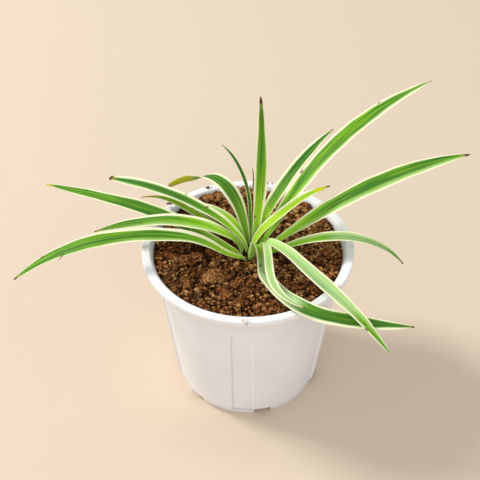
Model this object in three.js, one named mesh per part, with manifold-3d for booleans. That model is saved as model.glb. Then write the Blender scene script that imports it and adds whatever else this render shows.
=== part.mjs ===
// Potted spider plant: a white nursery pot, full of crumbly soil, with a short crown and eighteen striped leaves.
// Millimetres, +Z up. The origin is on the pot's axis at the plane that it stands on.
import * as THREE from 'three';
import { mergeVertices } from 'three/addons/utils/BufferGeometryUtils.js';
import Module from 'manifold-3d';

// Pot
const POT_SEGMENTS = 72;
const POT_HEIGHT = 120.5;
const RIM_RADIUS = 75;
const RIM_INNER_RADIUS = 69.2;
const LIP_BOTTOM = 116.4;
const LIP_THICKNESS = 1.7;
const WALL_RADIUS_AT_ZERO = 52.6;
const WALL_SLOPE = 0.13;
const WALL_THICKNESS = 2.2;
const BAND_BOTTOM = 101.4;
const BAND_STEP = 0.9;
const BAND_THICKNESS = 1.6;
const FOOT_RADIUS = 51;
const FOOT_HEIGHT = 5.7;
const FOOT_THICKNESS = 1.7;
const FLOOR_UNDERSIDE = 5;
const FLOOR_TOP = 7.4;
const GATE_RADIUS = 8;

// Flutes in the wall and notches in the foot
const FLUTE_COUNT = 6;
const FLUTE_FIRST = -94;
const FLUTE_HALF_WIDTH = 7.2;
const FLUTE_TOP = 99.6;
const FLUTE_ARCH = 4.6;
const FLUTE_DEPTH = 1;
const NOTCH_FIRST = -77.7;
const NOTCH_WIDTH = 12.7;
const NOTCH_HEIGHT = 5.4;

// Soil
const SOIL_LINE = 117;
const SOIL_EDGE = 115.2;
const SOIL_BACK_RISE = 3;
const SOIL_SECTORS = 108;
const SOIL_RINGS = 21;
const SOIL_CLEARANCE = 0.45;
const LUMP_COUNT = 150;

// Crown, in the hole that it stands in
const CROWN_X = 4;
const CROWN_Y = -1;
const HOLE_DEPTH = 14.4;
const HOLE_RADIUS = 9.3;
const HOLE_MOUTH = 14.2;

// Leaf blades
const MARGIN_THICKNESS = 0.6;
const MIDRIB_THICKNESS = 0.9;
const STATION_SPACING = 6;
const ACROSS = [-1, -0.5, 0, 0.5, 1];

// Big clods on the soil: x, y, radius, height over the soil around them
const CLODS = [
  [-24.5, -31.5, 8.5, 4.5],
  [-31.5, 53.5, 5.4, 3.4],
  [-22.5, 56.5, 5, 3.4],
  [-16.5, 50.5, 5, 2.6],
  [-5.5, 60, 5.6, 4.2],
  [-2.5, 54.5, 4.6, 2.8],
  [-0.5, 47, 4.2, 2],
  [-46, 45, 5.5, 3],
  [53.5, 27.5, 7, 3.2],
  [48.5, 19.5, 3.6, 2],
  [41, 47, 6, 2.6],
  [57, 13, 4.6, 2.4],
  [-44, -12, 6, 2.8],
  [-34, -10, 4.5, 2.8],
  [-25, -4, 4.6, 2.6],
  [-7, -36, 6, 2.4],
  [36, -12, 6, 2.2],
  [-16, -45, 6.5, 2.8],
  [-5, -53, 5, 2.4],
  [56, -2, 4.8, 2.4],
];

// Each leaf: width, share of the width at the base, fold of each half along the midrib at the base and
// towards the tip (degrees), tip (power of the narrowing, share of the width left at the end), seat on the
// crown (angle round its axis, distance from it, height over the soil line) and course, whose rows are
// distance along the leaf, heading, rise and roll in degrees.
const LEAVES = {
  leaf_back_upright: {
    width: 9.7, baseShare: 0.42, fold: [30, 12], tip: [4.5, 0.1], seat: [82, 4.2, 3],
    course: [[0, 64, 76, 0], [30, 71, 75, 0], [60, 87, 74, 0], [109, 99, 69, 0]],
  },
  leaf_back_thin: {
    width: 4.6, baseShare: 0.6, fold: [45, 35], tip: [4.5, 0.1], seat: [100, 9, 0],
    course: [[0, 95, 83, 60], [28, 107, 82, 60], [56, 121, 38, 60], [84, 124, -9, 60]],
  },
  leaf_back_arching: {
    width: 14, baseShare: 0.3, fold: [40, 10], tip: [2.6, 0.3], seat: [126, 7.4, 0],
    course: [
      [0, 138, 84, 0], [32, 138, 64, 0], [46, 139, 38, 0], [56, 140, 6, -3], [66, 142, -22, -15],
      [75, 145, -31, -33], [84, 149, -32, -52], [107, 155, -44, -58],
    ],
  },
  leaf_left_short: {
    width: 9.5, baseShare: 0.36, fold: [45, 12], tip: [4, 0.2], seat: [145, 9, -1],
    course: [[0, 136, 80, 0], [8, 136, 72, 0], [24, 138, 12, 0], [40, 145, -6, 0], [82, 152, -27, 0]],
  },
  leaf_left_upper: {
    width: 10.2, baseShare: 0.4, fold: [40, 12], tip: [8, 0.42], seat: [205, 5.6, 2],
    course: [[0, 150, 84, -8], [14, 151, 40, -8], [36, 151, 18, -4], [71, 153, 3, 3], [121, 161, -6, 5]],
  },
  leaf_left_narrow: {
    width: 6.5, baseShare: 0.42, fold: [40, 20], tip: [3.5, 0.1], seat: [169, 7.4, -1],
    course: [[0, 159, 80, 0], [8, 157, 37, 0], [28, 153, 18, 0], [56, 152, 14, 0], [90, 158, -27, 0]],
  },
  leaf_left_straight: {
    width: 14, baseShare: 0.28, fold: [40, 10], tip: [4.2, 0.06], seat: [215, 10.1, -2],
    course: [[0, 168, 60, 0], [10, 162, 23, 0], [46, 158, 16, 0], [94, 161, 2.7, 0], [155, 163, 0, 0]],
  },
  leaf_left_middle: {
    width: 11.8, baseShare: 0.34, fold: [40, 8], tip: [4.2, 0.06], seat: [192, 8.5, -2],
    course: [
      [0, 170, 84, 0], [8, 170, 73, 0], [18, 172, 35, 0], [38, 172, 15, 10], [74, 176, -10, 10],
      [119, 181, -20, 10],
    ],
  },
  leaf_left_longest: {
    width: 11.8, baseShare: 0.36, fold: [45, 10], tip: [7, 0.08], seat: [238, 9.8, -1.5],
    course: [
      [0, 205, 55, 0], [8, 192, 24, 10], [24, 178, 40, 15], [54, 183, 10, 15], [108, 186, -10, 15],
      [177, 192, -39, 0],
    ],
  },
  leaf_right_inner: {
    width: 10.3, baseShare: 0.33, fold: [40, 10], tip: [5, 0.06], seat: [60, 6.6, 1],
    course: [[0, 58, 82, 0], [14, 54, 66, 0], [34, 51.5, 36, 0], [66, 49.5, 22, 0], [108, 49, 2, 0]],
  },
  leaf_right_tall: {
    width: 14, baseShare: 0.36, fold: [40, 10], tip: [6, 0.06], seat: [28, 8.4, 0],
    course: [[0, 38, 80, 0], [20, 38, 50, 0], [56, 39, 38.5, 0], [110, 38, 17, 0], [182, 33, 1, 0]],
  },
  leaf_young_bright: {
    width: 9, baseShare: 0.48, fold: [40, 20], tip: [4.5, 0.06], seat: [248, 3.9, 3],
    course: [[0, 32, 84, 0], [10, 26, 61, 0], [24, 23, 37, 0], [46, 24, 29, 0], [76, 18, 5, 0]],
  },
  leaf_young_folded: {
    width: 6, baseShare: 0.5, fold: [60, 50], tip: [4.5, 0.06], seat: [6, 4.4, 3],
    course: [[0, 4, 82, 0], [6, 14, 54, 0], [22, 22, 52, 0], [34, 22, 42, 0]],
  },
  leaf_right_long: {
    width: 15.4, baseShare: 0.28, fold: [45, 10], tip: [6, 0.06], seat: [-8, 9, -1],
    course: [[0, 14, 75, 0], [10, 15, 34, 0], [50, 17, 28, -4], [100, 19, 13.5, -7], [165, 19, -3, -7]],
  },
  leaf_right_arching: {
    width: 10.4, baseShare: 0.38, fold: [45, 15], tip: [5.5, 0.1], seat: [-30, 10.2, -2],
    course: [[0, 0, 75, 0], [8, 0, 28, 0], [34, 1, 19, 0], [66, -3, -8, 0], [109, -10, -53, 0]],
  },
  leaf_front_right: {
    width: 11, baseShare: 0.48, fold: [30, 10], tip: [5, 0.06], seat: [-38, 4.8, 2],
    course: [
      [0, -34, 84, 0], [10, -40, 59, 0], [20, -49, 18, 0], [43, -49, -7, 0], [85, -49, -8, 0],
      [139, -55, -19, 0],
    ],
  },
  leaf_front_sweeping: {
    width: 11.6, baseShare: 0.28, fold: [20, 8], tip: [7, 0.06], seat: [250, 8.6, -1],
    course: [
      [0, -56, 77, 50], [18, -56, 71, 50], [22, -60, 30, 34], [26, -64, -43, 28], [30, -64, -71, 28],
      [38.6, -62, -71, 20], [43.6, -70, -25, 10], [48.6, -67, 4, 0], [67.6, -59, 9, 0],
      [82.6, -46.5, 4, -8], [95.6, -30, -3, -16], [109.6, -12, -4, -22], [166.6, 7, -10, -25],
    ],
  },
  leaf_front_short: {
    width: 6.3, baseShare: 0.56, fold: [15, 8], tip: [4.5, 0.06], seat: [291, 11.6, 1],
    course: [
      [0, -48, 82, 58], [16, -48, 75, 58], [20, -60, 46, 30], [23.4, -80, 8, 10], [27.4, -84, -22, 0],
      [37.2, -84, -42, 0], [43.2, -84, -10, 0], [61.2, -66, 6, -5], [88.2, -30, 3, -10],
    ],
  },
};

const COLOURS = {
  pot: 0xe8e6e4,
  soil: 0x5b3a22,
  crown: 0xb7cd86,
  leaf: 0x6da13c,
};

const wasm = await Module();
wasm.setup();

// A closed geometry as a solid that can be joined and cut
function toSolid(geometry) {
  const bare = geometry.clone();
  bare.deleteAttribute('normal');
  bare.deleteAttribute('uv');
  const merged = mergeVertices(bare, 1e-4);
  const vertProperties = new Float32Array(merged.attributes.position.array);
  const triVerts = new Uint32Array(merged.index.array);
  return new wasm.Manifold(new wasm.Mesh({ numProp: 3, vertProperties, triVerts }));
}

function fromSolid(solid) {
  const mesh = solid.getMesh();
  const geometry = new THREE.BufferGeometry();
  geometry.setAttribute('position', new THREE.BufferAttribute(new Float32Array(mesh.vertProperties), 3));
  geometry.setIndex(new THREE.BufferAttribute(new Uint32Array(mesh.triVerts), 1));
  geometry.computeVertexNormals();
  return geometry;
}

function indexedGeometry(points, faces) {
  const geometry = new THREE.BufferGeometry();
  geometry.setAttribute('position', new THREE.Float32BufferAttribute(points.flat(), 3));
  geometry.setIndex(faces.flat());
  geometry.computeVertexNormals();
  return geometry;
}

// A turned body whose profile is given as [radius, height] from the bottom up
function turned(profile, segments) {
  const points = profile.map(([radius, height]) => new THREE.Vector2(radius, height));
  const geometry = new THREE.LatheGeometry(points, segments);
  geometry.rotateX(Math.PI / 2);
  return geometry;
}

function addPiece(group, name, geometry, colour, roughness) {
  const material = new THREE.MeshStandardMaterial({ color: colour, roughness, metalness: 0 });
  const mesh = new THREE.Mesh(geometry, material);
  mesh.name = name;
  group.add(mesh);
  return mesh;
}

const wallRadius = (z) => WALL_RADIUS_AT_ZERO + WALL_SLOPE * z;

// The pot's inner face, as [radius, height] from the floor up to the rim
function innerFace() {
  const bandInside = (z) => wallRadius(z) + BAND_STEP - BAND_THICKNESS;
  return [
    [wallRadius(FLOOR_TOP) - WALL_THICKNESS - 1.2, FLOOR_TOP],
    [wallRadius(FLOOR_TOP) - WALL_THICKNESS, FLOOR_TOP + 1.2],
    [wallRadius(BAND_BOTTOM - 1) - WALL_THICKNESS, BAND_BOTTOM - 1],
    [bandInside(BAND_BOTTOM + 3), BAND_BOTTOM + 3],
    [bandInside(LIP_BOTTOM), LIP_BOTTOM],
    [RIM_INNER_RADIUS - 1.2, POT_HEIGHT - 1.6],
    [RIM_INNER_RADIUS - 0.4, POT_HEIGHT - 0.5],
    [RIM_INNER_RADIUS + 0.6, POT_HEIGHT],
  ];
}

// Section of the pot: gate, floor, foot ring, wall with its band, hollow turned-down lip, inner face
function potProfile() {
  const lipRoof = POT_HEIGHT - LIP_THICKNESS;
  const outside = [
    [0, 0],
    [GATE_RADIUS, 0],
    [GATE_RADIUS + 0.8, FLOOR_UNDERSIDE],
    [FOOT_RADIUS - FOOT_THICKNESS, FLOOR_UNDERSIDE],
    [FOOT_RADIUS - FOOT_THICKNESS, 0],
    [FOOT_RADIUS - 0.3, 0],
    [FOOT_RADIUS, FOOT_HEIGHT],
    [wallRadius(FOOT_HEIGHT) - 0.6, FOOT_HEIGHT],
    [wallRadius(FOOT_HEIGHT + 0.8), FOOT_HEIGHT + 0.8],
    [wallRadius(BAND_BOTTOM), BAND_BOTTOM],
    [wallRadius(BAND_BOTTOM) + BAND_STEP, BAND_BOTTOM + 0.9],
    [wallRadius(LIP_BOTTOM) + BAND_STEP, LIP_BOTTOM],
    [wallRadius(lipRoof) + BAND_STEP + 0.4, lipRoof],
    [RIM_RADIUS - LIP_THICKNESS, lipRoof],
    [RIM_RADIUS - LIP_THICKNESS, LIP_BOTTOM],
    [RIM_RADIUS - 0.2, LIP_BOTTOM],
    [RIM_RADIUS, POT_HEIGHT - 1.6],
    [RIM_RADIUS - 0.5, POT_HEIGHT - 0.5],
    [RIM_RADIUS - 1.6, POT_HEIGHT],
  ];
  return [...outside, ...innerFace().reverse(), [0, FLOOR_TOP]];
}

// One flute: an upright panel with an arched top, as deep as the flute everywhere on the tapering wall
function fluteTool() {
  const shape = new THREE.Shape();
  const spring = FLUTE_TOP - FLUTE_ARCH;
  shape.moveTo(-FLUTE_HALF_WIDTH, -2);
  shape.lineTo(FLUTE_HALF_WIDTH, -2);
  shape.lineTo(FLUTE_HALF_WIDTH, spring);
  shape.absellipse(0, spring, FLUTE_HALF_WIDTH, FLUTE_ARCH, 0, Math.PI, false);
  const panel = new THREE.ExtrudeGeometry(shape, { depth: 30, bevelEnabled: false, curveSegments: 8 });
  panel.rotateX(Math.PI / 2);
  panel.translate(0, 72, 0);
  const core = turned([
    [0, -3],
    [wallRadius(-3) - FLUTE_DEPTH, -3],
    [wallRadius(FLUTE_TOP + 4) - FLUTE_DEPTH, FLUTE_TOP + 4],
    [0, FLUTE_TOP + 4],
  ], POT_SEGMENTS);
  return toSolid(panel).subtract(toSolid(core));
}

function notchTool() {
  const box = new THREE.BoxGeometry(NOTCH_WIDTH, 5, NOTCH_HEIGHT + 2);
  box.translate(0, FOOT_RADIUS - 0.5, NOTCH_HEIGHT / 2 - 1);
  return toSolid(box);
}

function potGeometry() {
  let solid = toSolid(turned(potProfile(), POT_SEGMENTS));
  const flute = fluteTool();
  const notch = notchTool();
  for (let i = 0; i < FLUTE_COUNT; i += 1) {
    const turn = (360 / FLUTE_COUNT) * i - 90;
    solid = solid.subtract(flute.rotate([0, 0, FLUTE_FIRST + turn]));
    solid = solid.subtract(notch.rotate([0, 0, NOTCH_FIRST + turn]));
  }
  return fromSolid(solid);
}

// A repeatable random number from 0 to 1 for each n
function chance(n) {
  const value = Math.sin(n * 12.9898) * 43758.5453;
  return value - Math.floor(value);
}

// Smaller lumps, spread evenly over the disc by the golden angle
function lumps() {
  const found = [];
  for (let i = 0; i < LUMP_COUNT; i += 1) {
    const reach = 62 * Math.sqrt((i + 0.5) / LUMP_COUNT);
    const angle = i * 2.39996 + 0.5 * chance(i + 1);
    const radius = 3.4 + 2.2 * chance(i + 201);
    const height = 1 + 1.7 * chance(i + 401);
    found.push([reach * Math.cos(angle), reach * Math.sin(angle), radius, height]);
  }
  return found;
}

const BUMPS = [...CLODS, ...lumps()];

function soilEdgeHeight(angle) {
  return SOIL_EDGE + SOIL_BACK_RISE * Math.max(0, Math.sin(angle)) ** 2;
}

// A low dome that rises towards the back, with rounded clods on it that fade out round the crown
function soilHeight(x, y, reach) {
  const angle = Math.atan2(y, x);
  const out = Math.hypot(x, y) / reach;
  const edge = soilEdgeHeight(angle);
  const base = SOIL_LINE + (edge - SOIL_LINE) * out ** 2 + 0.4 * Math.sin(x / 6 + 1) * Math.cos(y / 7);
  let bump = 0;
  for (const [cx, cy, radius, height] of BUMPS) {
    const away = Math.hypot(x - cx, y - cy) / radius;
    if (away < 1) {
      bump = Math.max(bump, height * Math.sqrt(1 - away ** 2));
    }
  }
  const nearCrown = THREE.MathUtils.smoothstep(Math.hypot(x - CROWN_X, y - CROWN_Y), 15.5, 20);
  const nearWall = 1 - THREE.MathUtils.smoothstep(out, 0.94, 1);
  return base + bump * nearCrown * nearWall;
}

function soilRings() {
  const side = innerFace().map(([radius, height]) => [radius - SOIL_CLEARANCE, height]);
  const [below, above] = [side[3], side[4]];
  const reachAt = (z) => below[0] + ((above[0] - below[0]) * (z - below[1])) / (above[1] - below[1]);
  const bottom = FLOOR_TOP + SOIL_CLEARANCE;
  const rings = [];
  for (const [radius, height] of [[side[0][0], bottom], [side[1][0], side[1][1]], side[2], side[3]]) {
    rings.push(() => [radius, height]);
  }
  for (let k = SOIL_RINGS; k > 0; k -= 1) {
    rings.push((angle) => {
      const edge = soilEdgeHeight(angle);
      const reach = Math.min(reachAt(edge), reachAt(LIP_BOTTOM));
      const radius = (reach * k) / SOIL_RINGS;
      const height = soilHeight(radius * Math.cos(angle), radius * Math.sin(angle), reach);
      return [radius, k === SOIL_RINGS ? edge : height];
    });
  }
  return rings;
}

function soilBody() {
  const rings = soilRings();
  const points = [[0, 0, FLOOR_TOP + SOIL_CLEARANCE]];
  for (const ring of rings) {
    for (let j = 0; j < SOIL_SECTORS; j += 1) {
      const angle = (2 * Math.PI * j) / SOIL_SECTORS;
      const [radius, height] = ring(angle);
      points.push([radius * Math.cos(angle), radius * Math.sin(angle), height]);
    }
  }
  points.push([0, 0, SOIL_LINE]);
  const faces = [];
  const at = (k, j) => 1 + k * SOIL_SECTORS + (j % SOIL_SECTORS);
  for (let j = 0; j < SOIL_SECTORS; j += 1) {
    faces.push([0, at(0, j + 1), at(0, j)]);
    for (let k = 0; k < rings.length - 1; k += 1) {
      faces.push([at(k, j), at(k, j + 1), at(k + 1, j + 1)]);
      faces.push([at(k, j), at(k + 1, j + 1), at(k + 1, j)]);
    }
    faces.push([at(rings.length - 1, j), at(rings.length - 1, j + 1), points.length - 1]);
  }
  return indexedGeometry(points, faces);
}

function soilGeometry() {
  const hole = turned([
    [0, -HOLE_DEPTH],
    [HOLE_RADIUS, -HOLE_DEPTH],
    [HOLE_RADIUS, -8],
    [HOLE_MOUTH - 1.8, -3.5],
    [HOLE_MOUTH, 1.5],
    [HOLE_MOUTH, 8],
    [0, 8],
  ], 24);
  hole.translate(CROWN_X, CROWN_Y, SOIL_LINE);
  return fromSolid(toSolid(soilBody()).subtract(toSolid(hole)));
}

// The short thick crown that the leaves grow from
function crownGeometry() {
  const geometry = turned([
    [0, -14],
    [8.6, -14],
    [8.8, -7],
    [7.4, -3.5],
    [5.7, 0],
    [3, 2.2],
    [1.6, 4],
    [0, 5],
  ], 18);
  geometry.translate(CROWN_X, CROWN_Y, SOIL_LINE);
  return fromSolid(toSolid(geometry));
}

// Heading, rise and roll at a distance along the leaf, straight-line between the rows of its course
function directionAt(course, distance) {
  let row = 0;
  while (row < course.length - 2 && distance > course[row + 1][0]) {
    row += 1;
  }
  const [from, to] = [course[row], course[row + 1]];
  const share = Math.min(1, (distance - from[0]) / (to[0] - from[0]));
  const [heading, rise, roll] = [1, 2, 3].map((k) => THREE.MathUtils.degToRad(from[k] + (to[k] - from[k]) * share));
  const forward = new THREE.Vector3(
    Math.cos(rise) * Math.cos(heading),
    Math.cos(rise) * Math.sin(heading),
    Math.sin(rise),
  );
  const level = new THREE.Vector3(Math.sin(heading), -Math.cos(heading), 0);
  const up = new THREE.Vector3().crossVectors(level, forward);
  const side = level.clone().multiplyScalar(Math.cos(roll)).addScaledVector(up, Math.sin(roll));
  const normal = level.clone().multiplyScalar(-Math.sin(roll)).addScaledVector(up, Math.cos(roll));
  return { forward, side, normal };
}

function halfWidthAt(leaf, along) {
  const [power, left] = leaf.tip;
  const widening = leaf.baseShare + (1 - leaf.baseShare) * Math.sin((Math.PI / 2) * Math.min(1, along / 0.5));
  return (leaf.width / 2) * widening * (1 - (1 - left) * along ** power);
}

// Points of one cross-section: the upper face from left to right, then the lower face
function leafSection(leaf, centre, direction, along) {
  const half = halfWidthAt(leaf, along);
  const [foldBase, foldTip] = leaf.fold;
  const fold = THREE.MathUtils.degToRad(foldBase + (foldTip - foldBase) * Math.min(1, along / 0.4));
  const face = (way) => ACROSS.map((s) => {
    const lift = half * Math.sin(fold) * (Math.abs(s) ** 1.3 - 0.5);
    const thickness = MARGIN_THICKNESS + (MIDRIB_THICKNESS - MARGIN_THICKNESS) * (1 - Math.abs(s));
    const point = centre.clone().addScaledVector(direction.side, half * Math.cos(fold) * s);
    return point.addScaledVector(direction.normal, lift + (way * thickness) / 2).toArray();
  });
  return [...face(1), ...face(-1)];
}

function leafGeometry(leaf) {
  const { course } = leaf;
  const length = course[course.length - 1][0];
  const stations = Math.max(10, Math.round(length / STATION_SPACING));
  const steps = 8;
  const step = length / (stations * steps);
  const seatAngle = THREE.MathUtils.degToRad(leaf.seat[0]);
  const centre = new THREE.Vector3(
    CROWN_X + leaf.seat[1] * Math.cos(seatAngle),
    CROWN_Y + leaf.seat[1] * Math.sin(seatAngle),
    SOIL_LINE + leaf.seat[2],
  );
  const points = [];
  for (let i = 0; i <= stations; i += 1) {
    const along = i / stations;
    points.push(...leafSection(leaf, centre, directionAt(course, along * length), along));
    for (let k = 0; k < steps; k += 1) {
      centre.addScaledVector(directionAt(course, (i * steps + k + 0.5) * step).forward, step);
    }
  }
  return indexedGeometry(points, leafFaces(stations));
}

// Both faces are split along the same diagonals, so that the blade keeps its thickness where it twists
function leafFaces(stations) {
  const across = ACROSS.length;
  const upper = (i, k) => i * 2 * across + k;
  const lower = (i, k) => i * 2 * across + across + k;
  const faces = [];
  for (let i = 0; i < stations; i += 1) {
    for (let k = 0; k < across - 1; k += 1) {
      faces.push([upper(i, k), upper(i, k + 1), upper(i + 1, k + 1)]);
      faces.push([upper(i, k), upper(i + 1, k + 1), upper(i + 1, k)]);
      faces.push([lower(i, k), lower(i + 1, k + 1), lower(i, k + 1)]);
      faces.push([lower(i, k), lower(i + 1, k), lower(i + 1, k + 1)]);
    }
    const last = across - 1;
    faces.push([lower(i, 0), upper(i, 0), upper(i + 1, 0)]);
    faces.push([lower(i, 0), upper(i + 1, 0), lower(i + 1, 0)]);
    faces.push([upper(i, last), lower(i, last), lower(i + 1, last)]);
    faces.push([upper(i, last), lower(i + 1, last), upper(i + 1, last)]);
  }
  for (let k = 0; k < across - 1; k += 1) {
    faces.push([upper(0, k), lower(0, k), lower(0, k + 1)]);
    faces.push([upper(0, k), lower(0, k + 1), upper(0, k + 1)]);
    faces.push([upper(stations, k), upper(stations, k + 1), lower(stations, k + 1)]);
    faces.push([upper(stations, k), lower(stations, k + 1), lower(stations, k)]);
  }
  return faces;
}

const plant = new THREE.Group();
addPiece(plant, 'pot', potGeometry(), COLOURS.pot, 0.45);
addPiece(plant, 'soil', soilGeometry(), COLOURS.soil, 0.95);
addPiece(plant, 'crown', crownGeometry(), COLOURS.crown, 0.6);
for (const [name, leaf] of Object.entries(LEAVES)) {
  addPiece(plant, name, leafGeometry(leaf), COLOURS.leaf, 0.45);
}

export default plant;
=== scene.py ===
"""A potted spider plant: fine surfaces and finishes over its solid model, with floor, light and camera."""

import math

import bmesh
import bpy
import numpy as np
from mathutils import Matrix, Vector


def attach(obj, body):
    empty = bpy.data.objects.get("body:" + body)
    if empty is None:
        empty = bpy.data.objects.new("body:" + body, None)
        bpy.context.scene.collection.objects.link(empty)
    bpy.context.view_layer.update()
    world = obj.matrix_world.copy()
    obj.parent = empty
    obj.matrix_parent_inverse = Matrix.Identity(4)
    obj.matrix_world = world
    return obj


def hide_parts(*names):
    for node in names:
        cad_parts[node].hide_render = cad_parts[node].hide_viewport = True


bl_info = {
    "name": "Potted Spider Plant",
    "version": (1, 0, 0),
    "blender": (4, 5, 0),
    "location": "3D View > Sidebar > Plant",
    "description": "Dresses the solid model of a potted spider plant with leaves, soil and a moulded pot",
    "category": "Object",
}

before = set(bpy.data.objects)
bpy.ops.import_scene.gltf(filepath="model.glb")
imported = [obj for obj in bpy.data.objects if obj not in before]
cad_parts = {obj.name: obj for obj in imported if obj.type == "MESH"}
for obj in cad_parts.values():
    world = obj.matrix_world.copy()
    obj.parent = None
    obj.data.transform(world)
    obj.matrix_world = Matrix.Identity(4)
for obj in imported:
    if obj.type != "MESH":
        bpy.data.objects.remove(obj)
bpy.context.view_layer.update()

MM = 0.001
GOLDEN_ANGLE = 2.39996
FULL_TURN = 6.283

# Packed grains and knobs: step of a cell's seed along each axis, offsets from it for its separate draws, and the
# level of the hollows in cells; then each layer: cell in mm, seed, height in mm and share of tint and rise for the
# grains of the soil's body, and cell in mm, depth in mm and share of tint for the knobs on crumbs
CELL_SEEDS = (57.3, 131.7, 91.9)
DRAW_OFFSETS = (0, 0.37, 0.71, 0.19, 0.29, 0.83, 0.53, 0.11)
GRAIN_HOLLOW = -0.3
GRAIN_LAYERS = ((4.6, 3.0, 1.4, 0.45), (2.5, 8.0, 1.5, 0.35), (1.3, 15.0, 1.0, 0.2))
KNOB_LAYERS = ((2.4, 1.3, 0.3), (1.1, 0.75, 0.2))

# Dents of a loose crumb: speed of each of its waves, and how many times weaker than the first it is
DENT_SPEEDS = (1.3, 1.6, 2, 2.5, 3.2, 4, 5, 6)
DENT_FADES = (1, 1.1, 1.3, 1.6, 2, 2.6, 3.3, 4)

# Pot, in millimetres and degrees, as in the solid model
POT_HEIGHT = 120.5
RIM_RADIUS = 75.0
RIM_INNER_RADIUS = 69.2
LIP_BOTTOM = 116.4
LIP_THICKNESS = 1.7
WALL_RADIUS_AT_ZERO = 52.6
WALL_SLOPE = 0.13
WALL_THICKNESS = 2.2
BAND_BOTTOM = 101.4
BAND_STEP = 0.9
BAND_THICKNESS = 1.6
FOOT_RADIUS = 51.0
FOOT_HEIGHT = 5.7
FOOT_THICKNESS = 1.7
FLOOR_UNDERSIDE = 5
FLOOR_TOP = 7.4
WALL_TOP = 101
GATE_RADIUS = 8
FLUTE_COUNT = 6
FLUTE_FIRST = -94.0
FLUTE_HALF_WIDTH = 7.2
FLUTE_TOP = 99.6
FLUTE_ARCH = 4.6
NOTCH_FIRST = -77.7
NOTCH_WIDTH = 12.7
NOTCH_HEIGHT = 5.4

# Soil and crown, in millimetres, with the number of small lumps and of points round the crown
SOIL_LINE = 117.0
SOIL_EDGE = 115.2
SOIL_BACK_RISE = 3.0
SOIL_REACH = 66.3
LUMP_COUNT = 150
CROWN_X, CROWN_Y = 4.0, -1.0
CROWN_SIDES = 90

# Leaves: points across a blade's face, fine step along its course in mm, and share of the cream widths used
BLADE_COLUMNS = 31
FINE_STEP = 0.25
CREAM_SHARE = 0.88

# Stage: half the floor's side in metres, the point in mm that the camera looks at, and the area lights, whose
# power is a setting: place, height of the point on the axis that each looks at, side in metres and colour
FLOOR_HALF_SIDE = 3
CAMERA_TARGET = (-5.7, 0, 126.5)
LIGHTS = {
    "key": ((-2.0, 0.75, 2.1), 0.11, 0.7, (1.0, 0.965, 0.915)),
    "fill": ((0.0, -1.7, 1.6), 0.1, 1.6, (1.0, 0.985, 0.97)),
    "side": ((1.8, -0.8, 1.5), 0.1, 1.4, (0.93, 0.96, 1.0)),
}

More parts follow.
